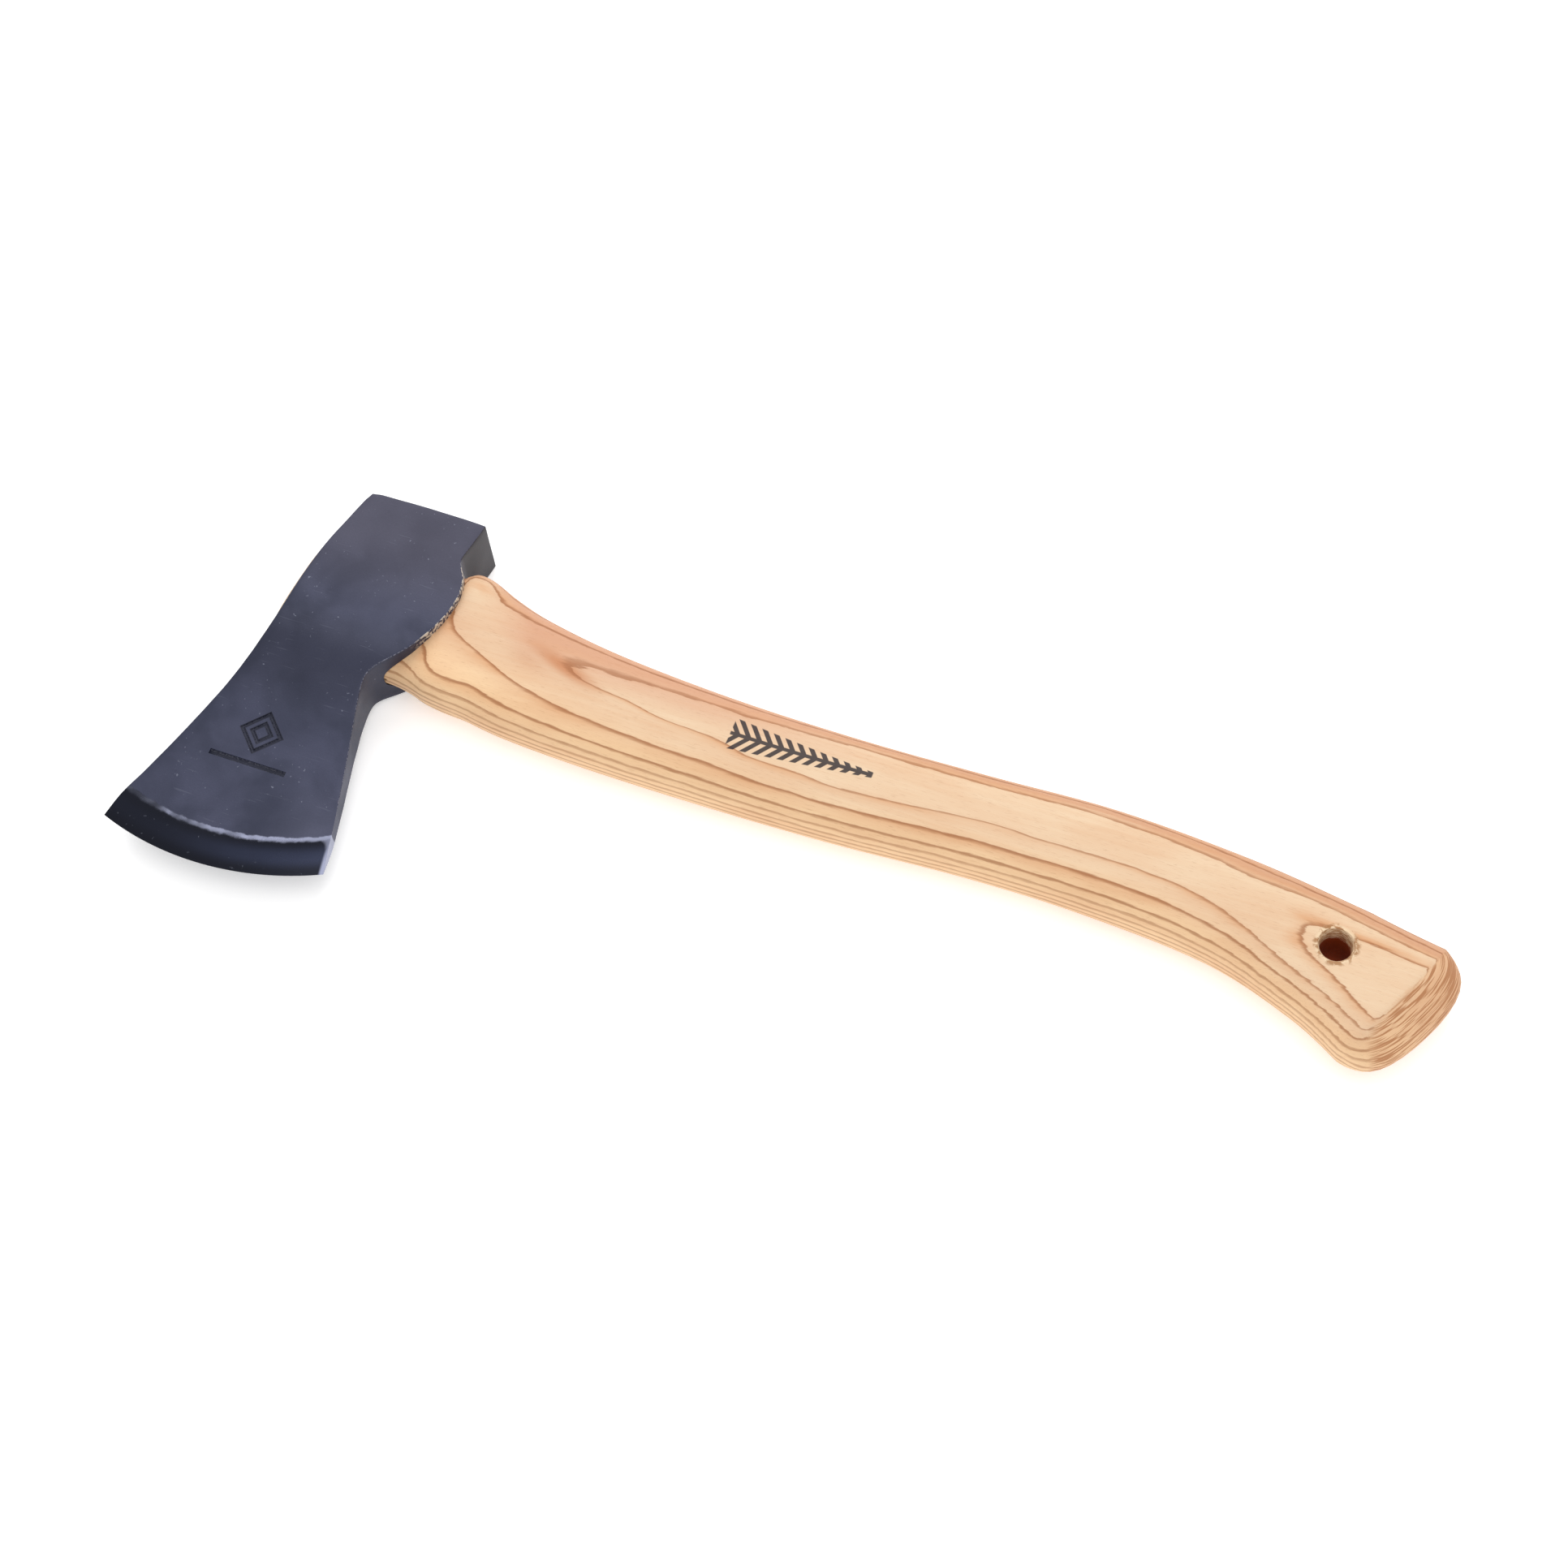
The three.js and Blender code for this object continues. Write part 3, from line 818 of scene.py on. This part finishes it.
def distance_from(tree, place, centre):
    """How far a place lies from the line along Z through a centre."""
    return new_node(
        tree, "ShaderNodeVectorMath", (stretch(tree, place, 1.0, 1.0, 0.0), (*centre, 0.0)),
        operation="DISTANCE").outputs["Value"]


def new_material(name):
    """A material with its shader, and its place in millimetres from the maker's zero."""
    material = bpy.data.materials.new(name)
    material.use_nodes = True
    tree = material.node_tree
    shader = tree.nodes["Principled BSDF"]
    coordinates = new_node(tree, "ShaderNodeTexCoord")
    place = new_node(
        tree, "ShaderNodeMapping",
        {"Vector": coordinates.outputs["Object"], "Location": -ZERO / MM,
         "Scale": (1 / MM, 1 / MM, 1 / MM)}).outputs[0]
    return material, tree, shader, place


def effect_group(name, inputs, outputs):
    """An empty node group for an effect that several finishes share."""
    group = bpy.data.node_groups.new(name, "ShaderNodeTree")
    for direction, sockets in (("INPUT", inputs), ("OUTPUT", outputs)):
        for socket in sockets:
            kind = "NodeSocketVector" if socket == "Place" else "NodeSocketFloat"
            group.interface.new_socket(socket, in_out=direction, socket_type=kind)
    start = group.nodes.new("NodeGroupInput")
    end = group.nodes.new("NodeGroupOutput")
    return group, start.outputs, end.inputs


def use_group(tree, group, inputs):
    return new_node(tree, "ShaderNodeGroup", inputs, node_tree=group).outputs


def growth_rings():
    """Layers of early and late wood, given how deep a place lies below the topmost layer."""
    if "Growth rings" in bpy.data.node_groups:
        return bpy.data.node_groups["Growth rings"]
    tree, start, end = effect_group(
        "Growth rings", ("Place", "Depth", "Spacing"), ("Line", "Flush", "Layer", "Fine line"))
    place, spacing = start["Place"], start["Spacing"]
    facing_up = normal_parts(tree)[2]
    flat = times(tree, facing_up, facing_up)
    slope = plus(tree, sums(tree, "SQRT", sums(tree, "SUBTRACT", 1.0, flat, clamp=True)), 0.035)
    slow = grained(tree, place, 0.02, 0.06)
    jag = grained(tree, place, 0.11, 0.9, 3.0, 0.6)
    depth = times_plus(tree, minus(tree, slow, 0.5), 0.5, start["Depth"])
    depth = times_plus(tree, times(tree, minus(tree, jag, 0.5), slope), 1.4, depth)

    # The two topmost layers are thinner, and those below them lie at the spacing.
    even = plus(tree, over(tree, depth, spacing), 0.98)
    first = sums(tree, "MINIMUM", depth, times_plus(tree, depth, 0.714, 0.286))
    count = sums(tree, "MINIMUM", first, even)
    layer = sums(tree, "FLOOR", count)
    share = minus(tree, count, layer)
    tone = new_node(
        tree, "ShaderNodeTexWhiteNoise", {"W": layer}, noise_dimensions="1D").outputs["Value"]

    # Distances along the surface to the line above a place and to the one below it.
    beyond = over(tree, times(tree, share, spacing), slope)
    before = over(tree, times(tree, minus(tree, 1.0, share), spacing), slope)
    width = ramp(tree, slope, 0.12, 0.6, 1.8, 0.8)
    line = most(tree, ramp(tree, beyond, 0.2, width, 1.0, 0.0),
                ramp(tree, before, 0.1, 0.5, 1.0, 0.0))
    line = times(tree, line, ramp(tree, slope, 0.5, 1.0, 1.0, 0.7))
    line = times(tree, line, ramp(tree, tone, 0.0, 1.0, 0.8, 1.0))
    flush = most(tree, ramp(tree, beyond, 0.0, 8.5, 1.0, 0.0),
                 ramp(tree, before, 0.0, 2.5, 0.55, 0.0))
    patchy = grained(tree, place, 0.022, 0.2)
    flush = times(tree, times(tree, flush, flush), ramp(tree, patchy, 0.38, 0.62, 0.45, 1.0))
    flush = times(tree, flush, ramp(tree, slope, 0.25, 0.7, 1.0, 0.2))
    flush = times(tree, flush, ramp(tree, tone, 0.0, 1.0, 0.75, 1.0))
    fine = noise(tree, stretch(tree, place, 0.1, 0.1, 3.2), 1.0, 1.5, 0.5)
    tree.links.new(line, end["Line"])
    tree.links.new(flush, end["Flush"])
    tree.links.new(count, end["Layer"])
    tree.links.new(ramp(tree, fine, 0.46, 0.56), end["Fine line"])
    return tree


def wood_fibres():
    """Streaks and pores that run along the grain, and show as dots on end grain."""
    if "Wood fibres" in bpy.data.node_groups:
        return bpy.data.node_groups["Wood fibres"]
    tree, start, end = effect_group("Wood fibres", ("Place",), ("Streaks", "Pores"))
    broad = grained(tree, start["Place"], 0.02, 0.7, 3.0, 0.6)
    fine = grained(tree, start["Place"], 0.08, 3.2, 2.0, 0.55)
    pores = grained(tree, start["Place"], 0.35, 4.6, 1.0, 0.4)
    tree.links.new(times_plus(tree, fine, 0.45, times(tree, broad, 0.55)), end["Streaks"])
    tree.links.new(ramp(tree, pores, 0.63, 0.72), end["Pores"])
    return tree


def steel_marks():
    """Clouds, light flecks and fine scratches on worked steel."""
    if "Steel marks" in bpy.data.node_groups:
        return bpy.data.node_groups["Steel marks"]
    tree, start, end = effect_group(
        "Steel marks", ("Place",), ("Clouds", "Grain", "Flecks", "Scratches"))
    place = start["Place"]
    flecks = noise(tree, place, 0.75, 2.0, 0.5)
    turned = new_node(
        tree, "ShaderNodeMapping",
        {"Vector": place, "Rotation": (0.0, 0.0, 0.6), "Scale": (0.07, 1.3, 1.3)}).outputs[0]
    scratches = noise(tree, turned, 1.0, 2.0, 0.5)
    patchy = ramp(tree, noise(tree, place, 0.09, 1.0), 0.44, 0.58)
    tree.links.new(noise(tree, place, 0.045, 3.0, 0.55, 0.3), end["Clouds"])
    tree.links.new(noise(tree, place, 1.6, 3.0, 0.65), end["Grain"])
    tree.links.new(times(tree, ramp(tree, flecks, 0.68, 0.76), patchy), end["Flecks"])
    tree.links.new(times(tree, ramp(tree, scratches, 0.66, 0.73), patchy), end["Scratches"])
    return tree


def bump(tree, shader, height, strength, distance):
    made = new_node(
        tree, "ShaderNodeBump", {"Height": height, "Strength": strength, "Distance": distance})
    tree.links.new(made.outputs[0], shader.inputs["Normal"])


def normal_parts(tree):
    """How far the surface faces along X, Y and Z."""
    return parts_of(tree, new_node(tree, "ShaderNodeNewGeometry").outputs["Normal"])


def head_material(head):
    """Lacquered forging skin down to the shoulder of the grind, and polished steel below it."""
    material, tree, shader, place = new_material("forged_and_ground_steel")
    marks = use_group(tree, steel_marks(), {"Place": place})
    skin = forged_skin(tree, place, marks, head)
    from_edge = minus(tree, EDGE_RADIUS, distance_from(tree, place, EDGE_CENTRE))
    rough_edge = noise(tree, place, 0.35, 3.0, 0.6)
    ragged = times_plus(tree, minus(tree, rough_edge, 0.5), 1.8, from_edge)
    ground = ground_steel(tree, place, marks, from_edge, ragged, head)

    below = ramp(tree, ragged, GRIND_WIDTH + 0.7, GRIND_WIDTH + 0.2)
    tree.links.new(blend(tree, below, skin, ground), shader.inputs["Base Color"])
    matt = ramp(tree, marks["Clouds"], 0.3, 0.7, 0.55, 0.44)
    gloss = ramp(tree, marks["Clouds"], 0.3, 0.7, 0.24, 0.32)
    tree.links.new(ramp(tree, below, 0.0, 1.0, matt, gloss), shader.inputs["Roughness"])
    tree.links.new(ramp(tree, below, 0.0, 1.0, 0.25, 0.8), shader.inputs["Metallic"])
    shader.inputs["Specular IOR Level"].default_value = 0.35
    grain = times(tree, marks["Grain"], ramp(tree, below, 0.0, 1.0, 1.0, 0.0))
    bump(tree, shader, grain, 0.1, 0.0003)
    return material


def forged_skin(tree, place, marks, head):
    """The dark skin, lighter at the poll and the heel, with painted shade in the neck, in the
    struck mark and on the underside near the poll, and wear with a painted highlight along its
    edges.
    """
    along, side, up = parts_of(tree, place)
    facing = normal_parts(tree)
    skin = blend(tree, ramp(tree, marks["Clouds"], 0.32, 0.68), head.skin, head.skin_light)
    skin = blend(tree, ramp(tree, side, -12.0, 26.0, 0.0, 0.75), skin, head.poll_skin)
    neck = band(tree, side, (-2.0, -20.0), (-50.0, -26.0))
    skin = stain(tree, skin, neck, 0.4, NECK_SHADE)
    heel = times(tree, ramp(tree, along, 20.0, 44.0), ramp(tree, side, -58.0, -82.0))
    skin = stain(tree, skin, heel, 0.6, HEEL_LIGHT)
    skin = stain(tree, skin, marks["Grain"], 0.22, SKIN_GRAIN)
    skin = stain(tree, skin, marks["Flecks"], 0.5, SKIN_FLECK)
    skin = stain(tree, skin, marks["Scratches"], 0.16, SCRATCH)
    # Wear with a painted highlight along the rounded edges.
    edge = band(tree, size_of(tree, facing[2]), (0.94, 0.82), (0.2, 0.4))
    edge = times(tree, edge, ramp(tree, marks["Grain"], 0.42, 0.6))
    skin = stain(tree, skin, edge, 0.5, EDGE_WEAR_AND_HIGHLIGHT)
    # Painted shade in the recess of the struck mark.
    skin = stain(tree, skin, struck_mark(tree, along, side, up), 0.48, MARK_SHADE)
    lobe = times(tree, ramp(tree, facing[0], 0.25, 0.5), ramp(tree, along, 43.0, 46.0))
    lobe = times(tree, lobe, band(tree, side, (-13.0, -6.0), (21.5, 19.5)))
    speckle = ramp(tree, noise(tree, place, 0.9, 2.0, 0.6), 0.45, 0.58)
    skin = stain(tree, skin, lobe, speckle, LOBE_SPECKLE)
    wall = times(tree, ramp(tree, facing[0], 0.3, 0.8), ramp(tree, side, 20.0, 24.0))
    return stain(tree, skin, wall, 0.85, WALL_SHADE)


def ground_steel(tree, place, marks, from_edge, ragged, head):
    """The polished grind, kept dark as a painted dark reflection, with a painted sheen that grows
    towards the heel and a painted highlight along its shoulder and at the corner of the heel.
    """
    along = parts_of(tree, place)[0]
    to_heel = ramp(tree, along, -24.0, 44.0)
    broken = times_plus(tree, noise(tree, place, 0.16, 2.0), 1.5, to_heel)
    shoulder = times(tree, ramp(tree, ragged, GRIND_WIDTH - 1.5, GRIND_WIDTH - 0.5),
                     ramp(tree, broken, 0.6, 1.7, 0.08, 0.95))
    # The grind's dark colour is a painted dark reflection, with a painted sheen over it that grows
    # towards the heel.
    sheen = band(tree, from_edge, (1.0, 5.0), (10.0, 6.0))
    ground = stain(
        tree, head.grind, sheen, ramp(tree, to_heel, 0.0, 1.0, 0.1, 0.6), GRIND_SHEEN)
    reach = times_plus(tree, from_edge, 0.1, along)
    corner = ramp(tree, reach, HEEL_LINE - 1.0, HEEL_LINE)
    below_shoulder = most(tree, minus(tree, GRIND_WIDTH, ragged), 0.0)
    before_heel = most(tree, minus(tree, HEEL_LINE, reach), 0.0)
    heel_highlight = ramp(tree, times(tree, below_shoulder, before_heel), 0.6, 4.5, 0.8, 0.0)
    heel_highlight = times(tree, heel_highlight, times(
        tree, ramp(tree, below_shoulder, 6.0, 3.0), ramp(tree, before_heel, 8.0, 3.0)))
    # Painted highlight along the shoulder, at the corner of the heel and in a patch beside it.
    painted_highlight = most(tree, most(tree, shoulder, corner), heel_highlight)
    ground = blend(tree, painted_highlight, ground, head.shoulder_highlight)
    return stain(tree, ground, marks["Flecks"], 0.5, GRIND_FLECK)


def struck_mark(tree, along, side, up):
    """The floor of the mark on the blade, darkened as painted shade in the recess."""
    across = size_of(tree, minus(tree, along, MARK_CENTRE[0]))
    down = minus(tree, side, MARK_CENTRE[1])
    reach = plus(tree, across, size_of(tree, down))
    outer, inner = (ramp(tree, size_of(tree, minus(tree, reach, size)), 1.25, 0.9)
                    for size in LOZENGES)
    bar = times(tree, ramp(tree, size_of(tree, plus(tree, down, BAR_BELOW)), 0.95, 0.7),
                ramp(tree, across, BAR_HALF, BAR_HALF - 0.4))
    return times(tree, most(tree, most(tree, outer, inner), bar), ramp(tree, up, 0.0, 1.0))


def along_curve(tree, along, keys, low, high):
    """A value that follows (along, value) keys down the handle."""
    curve_node = new_node(
        tree, "ShaderNodeFloatCurve", {"Value": over(tree, along, CURVE_LENGTH)})
    curve = curve_node.mapping.curves[0]
    points = [(x / CURVE_LENGTH, (value - low) / (high - low)) for x, value in keys]
    curve.points[0].location, curve.points[1].location = points[0], points[-1]
    for point in points[1:-1]:
        curve.points.new(*point)
    curve_node.mapping.update()
    return times_plus(tree, curve_node.outputs[0], high - low, low)


def handle_material(settings):
    """Oiled hardwood, with its end grain on the knob, the torn rim of the lanyard hole and painted
    shade deeper in the hole.
    """
    material, tree, shader, place = new_material("oiled_hardwood")
    along, side, up = parts_of(tree, place)
    across = minus(tree, side, along_curve(tree, along, MIDDLE_LINE, -30.0, 0.0))
    tilt = ramp(tree, along, 285.0, 330.0, 0.08, 0.0)
    rise = plus(tree, times_plus(tree, across, tilt, up),
                along_curve(tree, along, RING_DIP, -2.0, 2.0))
    rings = use_group(tree, growth_rings(), {
        "Place": place, "Depth": minus(tree, TOP_LAYER, rise),
        "Spacing": settings.ring_spacing / MM})
    fibres = use_group(tree, wood_fibres(), {"Place": place})
    end_grain = times(tree, ramp(tree, normal_parts(tree)[0], 0.28, 0.5),
                      ramp(tree, along, 335.0, 350.0))
    grain_lines = times(tree, end_grain, rings["Fine line"])

    colour = long_grain(tree, place, along, across, rings, fibres, settings)
    line = times(tree, rings["Line"], ramp(tree, end_grain, 0.0, 1.0, 0.75, 0.3))
    colour = blend(tree, line, colour, settings.ring)
    colour = stain(tree, colour, fibres["Pores"], 0.2, settings.ring)
    colour = stain(tree, colour, end_grain, 0.7, END_GRAIN)
    colour = stain(tree, colour, grain_lines, 0.85, END_LINE)

    bore = distance_from(tree, place, HOLE_CENTRE)
    torn = noise(tree, stretch(tree, place, 0.5, 0.5, 2.6), 1.0, 3.0, 0.6, 0.4)
    rim = times(tree, ramp(tree, times_plus(tree, torn, 2.2, bore), 8.3, 7.1),
                ramp(tree, up, 3.0, 5.0))
    fibre_colour = blend(tree, ramp(tree, torn, 0.42, 0.6), TORN_DARK, TORN_LIGHT)
    colour = stain(tree, colour, rim, 0.85, fibre_colour)
    # Painted shade deep in the lanyard hole, from a ragged line part way down its wall.
    torn_depth = times_plus(tree, torn, 5.0, up)
    inside = times(tree, ramp(tree, bore, 5.2, 4.9), ramp(tree, torn_depth, 9.6, 7.6))
    colour = blend(tree, inside, colour, BORE_SHADE)
    colour = blend(tree, ramp(tree, along, 3.0, 0.0, 0.0, 0.8), colour, SAWN_END)
    colour = printed_mark(tree, colour, along, across, up, settings.ink)
    tree.links.new(colour, shader.inputs["Base Color"])
    shader.inputs["Specular IOR Level"].default_value = 0.25
    polish = ramp(tree, fibres["Streaks"], 0.3, 0.7, 0.45, 0.6)
    tree.links.new(most(tree, polish, inside), shader.inputs["Roughness"])
    relief = times_plus(tree, rings["Line"], -0.3, fibres["Streaks"])
    relief = times_plus(tree, times(tree, rim, torn), 1.6, relief)
    relief = times_plus(tree, grain_lines, -0.6, relief)
    bump(tree, shader, relief, 0.22, 0.0005)
    return material


def long_grain(tree, place, along, across, rings, fibres, settings):
    """Pale wood on the flat, warmer down the back and the belly, flushed along the rings."""
    belly = ramp(tree, across, 4.0, -12.0)
    back = times(tree, minus(tree, 1.0, belly), ramp(tree, along, 62.0, 84.0))
    inner = ramp(tree, rings["Layer"], 0.9, ramp(tree, back, 0.0, 1.0, 3.2, 1.5))
    outer = blend(tree, belly, BACK_WOOD, BELLY_WOOD)
    colour = blend(tree, inner, settings.pale, outer)
    clouds = grained(tree, place, 0.03, 0.09)
    colour = blend(tree, ramp(tree, clouds, 0.35, 0.7, 0.0, 0.25), colour, settings.warm)
    colour = stain(tree, colour, rings["Flush"], ramp(tree, belly, 0.0, 1.0, 1.0, 0.7),
                   settings.flush)
    tint = times(tree, ramp(tree, across, 0.0, 9.0), ramp(tree, along, 215.0, 130.0, 0.0, 0.6))
    colour = stain(tree, colour, tint, ramp(tree, along, 58.0, 80.0), BACK_TINT)
    colour = blend(tree, blush_spot(tree, along, across), colour, BLUSH)
    return blend(tree, ramp(tree, fibres["Streaks"], 0.3, 0.7, 0.0, 0.2), colour, settings.warm)


def blush_spot(tree, along, across):
    """A flushed spot in the wood near the head, where the innermost layer runs out."""
    past = minus(tree, along, BLUSH_CENTRE[0])
    far = over(tree, past, BLUSH_HALF[0])
    aside = times_plus(tree, past, BLUSH_SLANT, minus(tree, across, BLUSH_CENTRE[1]))
    wide = over(tree, aside, BLUSH_HALF[1])
    reach = sums(tree, "SQRT", times_plus(tree, far, far, times(tree, wide, wide)))
    return ramp(tree, reach, 0.0, 1.25, 1.0, 0.0)


def printed_mark(tree, colour, along, across, up, ink):
    """A plain sprig of needles printed on the upper side of the grip."""
    u = minus(tree, along, SPRIG_CENTRE[0])
    v = size_of(tree, minus(tree, across, SPRIG_CENTRE[1]))
    stem = ramp(tree, v, 0.75, 0.5)
    beat = sums(tree, "FRACT", over(tree, times_plus(tree, v, NEEDLE_LEAN, u), NEEDLE_PITCH))
    needle = band(tree, beat, (0.02, 0.1), (0.62, 0.54))
    reach = times_plus(tree, u, -0.1, NEEDLE_REACH)
    needle = times(tree, needle, ramp(tree, minus(tree, v, reach), 0.15, -0.15))
    length = band(tree, u, (-SPRIG_HALF - 0.2, 0.2 - SPRIG_HALF),
                  (SPRIG_HALF + 0.2, SPRIG_HALF - 0.2))
    mark = times(tree, most(tree, stem, needle), length)
    mark = times(tree, mark, ramp(tree, up, 4.0, 6.0))
    return stain(tree, colour, mark, 0.93, ink)


def wedge_material(settings):
    """Bare sawn hardwood."""
    material, tree, shader, place = new_material("sawn_wedge_wood")
    depth = plus(tree, parts_of(tree, place)[2], 20.0)
    rings = use_group(
        tree, growth_rings(), {"Place": place, "Depth": depth, "Spacing": WEDGE_RINGS})
    fibres = use_group(tree, wood_fibres(), {"Place": place})
    colour = blend(tree, rings["Flush"], settings.wedge_wood, WEDGE_FLUSH)
    colour = stain(tree, colour, fibres["Pores"], 0.4, WEDGE_PORE)
    tree.links.new(colour, shader.inputs["Base Color"])
    shader.inputs["Roughness"].default_value = 0.7
    bump(tree, shader, fibres["Streaks"], 0.2, 0.0004)
    return material


def ring_material(settings):
    """Turned steel with the dents of driving."""
    material, tree, shader, place = new_material("turned_ring_steel")
    marks = use_group(tree, steel_marks(), {"Place": place})
    colour = blend(tree, marks["Grain"], settings.ring_steel, RING_GRAIN)
    tree.links.new(colour, shader.inputs["Base Color"])
    shader.inputs["Metallic"].default_value = 0.95
    tree.links.new(ramp(tree, marks["Grain"], 0.3, 0.7, 0.28, 0.45), shader.inputs["Roughness"])
    bump(tree, shader, marks["Grain"], 0.3, 0.0003)
    return material


# ---- Stage ----


class HATCHET_OT_set_stage(bpy.types.Operator):
    """Lays the pale floor, and sets the soft lights and the camera"""
    bl_idname = "hatchet.set_stage"
    bl_label = "Set stage"

    def execute(self, context):
        scene = context.scene
        clear_selection()
        bpy.ops.mesh.primitive_plane_add(size=FLOOR_SIZE, location=(0.0, 0.0, -FLOOR_DROP))
        floor = context.object
        floor.name = "pale_floor"
        material = bpy.data.materials.new("pale_floor")
        material.use_nodes = True
        inputs = material.node_tree.nodes["Principled BSDF"].inputs
        inputs["Base Color"].default_value = (FLOOR_GREY, FLOOR_GREY, FLOOR_GREY, 1.0)
        inputs["Roughness"].default_value = 0.9
        inputs["Specular IOR Level"].default_value = 0.0
        inputs["Emission Color"].default_value = (1.0, 1.0, 1.0, 1.0)
        inputs["Emission Strength"].default_value = FLOOR_GLOW
        floor.data.materials.append(material)

        world = bpy.data.worlds.new("soft_sky")
        world.use_nodes = True
        sky = world.node_tree.nodes["Background"].inputs
        sky["Color"].default_value = (1.0, 1.0, 1.0, 1.0)
        sky["Strength"].default_value = SKY_GLOW
        scene.world = world
        for softbox in SOFTBOXES:
            soft_light(*softbox)

        camera_data = bpy.data.cameras.new("camera")
        camera_data.lens = CAMERA_LENS
        camera_data.sensor_width = 36.0
        camera = bpy.data.objects.new("camera", camera_data)
        scene.collection.objects.link(camera)
        back = Vector(CAMERA_BACK).normalized()
        up = back.cross(Vector(CAMERA_RIGHT)).normalized()
        turn = Matrix((up.cross(back), up, back)).transposed().to_4x4()
        camera.matrix_world = Matrix.Translation(CAMERA_PLACE) @ turn
        scene.camera = camera
        scene.view_settings.view_transform = "Standard"
        return {"FINISHED"}


def soft_light(name, location, size, power):
    """A square softbox turned to the middle of the hatchet."""
    bpy.ops.object.light_add(type="AREA", location=location)
    lamp = bpy.context.object
    lamp.name = name
    lamp.data.size = size
    lamp.data.energy = power
    lamp.rotation_euler = (-Vector(location)).to_track_quat("-Z", "Y").to_euler()


class HATCHET_PT_panel(bpy.types.Panel):
    """Lists the steps that make the hatchet"""
    bl_idname = "HATCHET_PT_panel"
    bl_label = "Hatchet"
    bl_space_type = "VIEW_3D"
    bl_region_type = "UI"
    bl_category = "Hatchet"

    def draw(self, context):
        for settings in ("hatchet_head", "hatchet_handle", "hatchet_wedges"):
            group = getattr(context.scene, settings)
            box = self.layout.box()
            for name in group.__annotations__:
                box.prop(group, name)
        for operator in OPERATORS:
            self.layout.operator(operator.bl_idname)


OPERATORS = (
    HATCHET_OT_forge_head, HATCHET_OT_shape_handle, HATCHET_OT_drive_wedges, HATCHET_OT_set_stage,
)
SETTINGS = {
    "hatchet_head": HatchetHeadSettings,
    "hatchet_handle": HatchetHandleSettings,
    "hatchet_wedges": HatchetWedgeSettings,
}
CLASSES = (*SETTINGS.values(), *OPERATORS, HATCHET_PT_panel)


def register():
    for cls in CLASSES:
        bpy.utils.register_class(cls)
    for name, cls in SETTINGS.items():
        setattr(bpy.types.Scene, name, bpy.props.PointerProperty(type=cls))


def unregister():
    for name in SETTINGS:
        delattr(bpy.types.Scene, name)
    for cls in reversed(CLASSES):
        bpy.utils.unregister_class(cls)


def main():
    register()
    bpy.ops.hatchet.forge_head()
    bpy.ops.hatchet.shape_handle()
    bpy.ops.hatchet.drive_wedges()
    bpy.ops.hatchet.set_stage()


if __name__ == "__main__":
    main()
